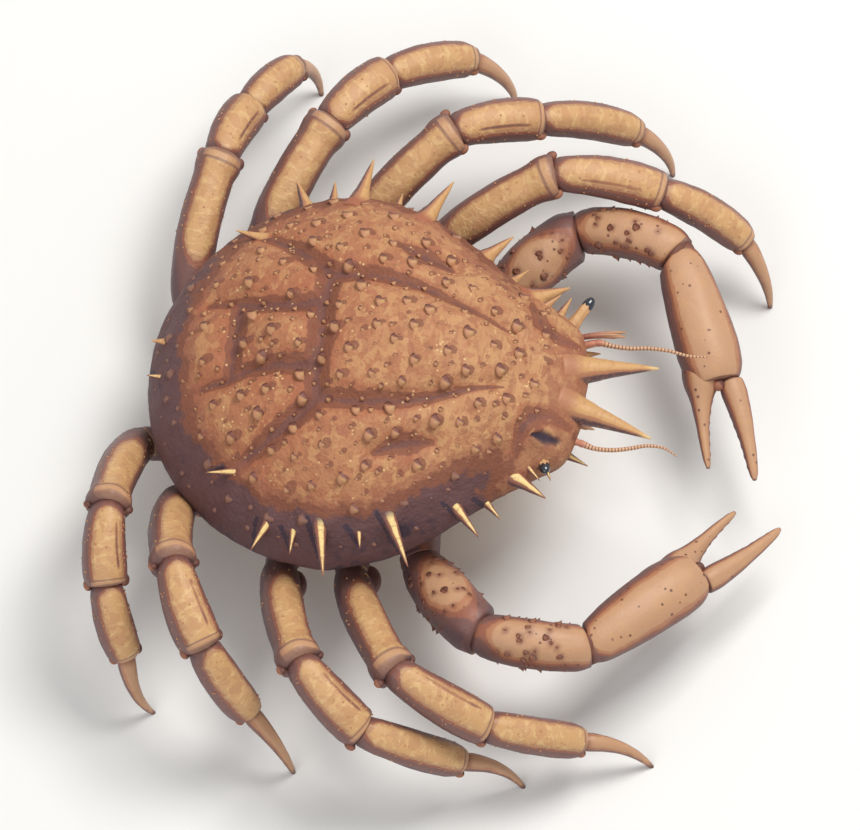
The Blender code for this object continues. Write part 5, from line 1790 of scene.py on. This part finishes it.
def camera():
    """A long lens at the picture's angle, so that the crab keeps the picture's flat proportions."""
    turn = math.radians(VIEW_AZIMUTH)
    tilt = math.radians(VIEW_ELEVATION)
    ahead = Vector((-math.sin(turn) * math.cos(tilt), math.cos(turn) * math.cos(tilt), -math.sin(tilt)))
    data = bpy.data.cameras.new("camera")
    data.sensor_width = SENSOR_WIDTH
    data.lens = SENSOR_WIDTH * CAMERA_DISTANCE / (IMAGE_WIDTH * MM_PER_PIXEL * MM)
    data.clip_end = 20
    obj = bpy.data.objects.new("camera", data)
    obj.location = VIEW_CENTRE + STAND - ahead * CAMERA_DISTANCE
    obj.rotation_euler = ahead.to_track_quat("-Z", "Y").to_euler()
    bpy.context.scene.collection.objects.link(obj)
    bpy.context.scene.camera = obj


def main():
    GROUPS["mottle"] = mottle_group()
    GROUPS["grain"] = grain_group()
    looks = {"leg": leg_finish(), "toe": toe_finish(), "claw": claw_finish(), "eye": eye_finish(),
             "antenna": antenna_finish(), "bristle": bristle_finish(),
             # Spines, horns and eye stalks: root, body, painted highlight and tip colours, and where the painted
             # highlight begins and is full.
             "far_spine": spine_finish("Crab far spines", REAR, OCHRE, GOLD, HONEY, 0.62, 0.85),
             "near_spine": spine_finish("Crab near spines", PLUM, RUST, SPINE_HIGHLIGHT, RUST, 0.86, 0.93),
             "horn": spine_finish("Crab horns", OCHRE, OCHRE, GOLD, CREAM, 0.45, 0.62),
             "stalk": spine_finish("Crab eye stalks", OCHRE, TAN, HONEY, TAN, 0.3, 0.7)}
    limb_blank = tube_blank(LIMB_SIDES, LIMB_RINGS)
    wart = wart_blank(12, 6)
    carapace_shell(carapace_finish())
    carapace_spines(tube_blank(24, SPINE_RINGS), looks)
    carapace_warts(wart, wart_finish("Crab warts", OCHRE, HONEY, WART_SHADE_COLOUR))
    underside = underside_finish()
    thorax(underside)
    abdomen(underside)
    epistome(underside)
    whip_blank = tube_blank(12, WHIP_RINGS)
    bristle_blank = tube_blank(6, BRISTLE_RINGS)
    for side, (root, end) in ANTENNULES.items():
        bristle_tuft(side + "_antennule", bristle_blank, Vector(root) * MM, Vector(end) * MM, looks["bristle"])
    all_joints = []
    beads = []
    knobs = []
    arm_warts = []
    claw_knobs = []
    for side in ("left", "right"):
        eye(side, limb_blank, looks)
        antenna(side, whip_blank, looks)
        maxilliped(side, underside)
        joints, placements = claw_arm(side, limb_blank, looks)
        arm_warts += placements
        all_joints.append((joints, CLAW_SKINS))
        claw_knobs.append(claw_hand(side, limb_blank, looks))
        for number in range(len(LEG_HIPS)):
            joints, small, large = walking_leg(side, number, limb_blank, looks)
            beads += small
            knobs += large
            all_joints.append((joints, LEG_SKINS))
    lobes = [stand(Vector(place) * MM, HIP_LOBE_LEAN, *HIP_LOBE_SIZE) for place in HIP_LOBES]
    knob_look = wart_finish("Crab knobs", UMBER, RUST, UMBER)
    for name, blank, places, look, slot in (
            ("arm_warts", wart, arm_warts, wart_finish("Crab arm warts", WINE, RUST, UMBER), "claw_shell"),
            ("leg_granules", bead_blank(2), beads, wart_finish("Crab granules", OCHRE, HONEY, OCHRE), "leg_shell"),
            ("leg_knobs", bead_blank(3), knobs, knob_look, "leg_shell"),
            ("claw_knobs", bead_blank(3), claw_knobs, knob_look, "claw_shell"),
            ("hip_lobes", bead_blank(4), lobes, wart_finish("Crab hips", DUSK, RUST, DUSK), "leg_shell")):
        finish_piece(scatter(name, blank, places), look)
    joint_skins(all_joints, skin_finish())
    studio()
    camera()


main()
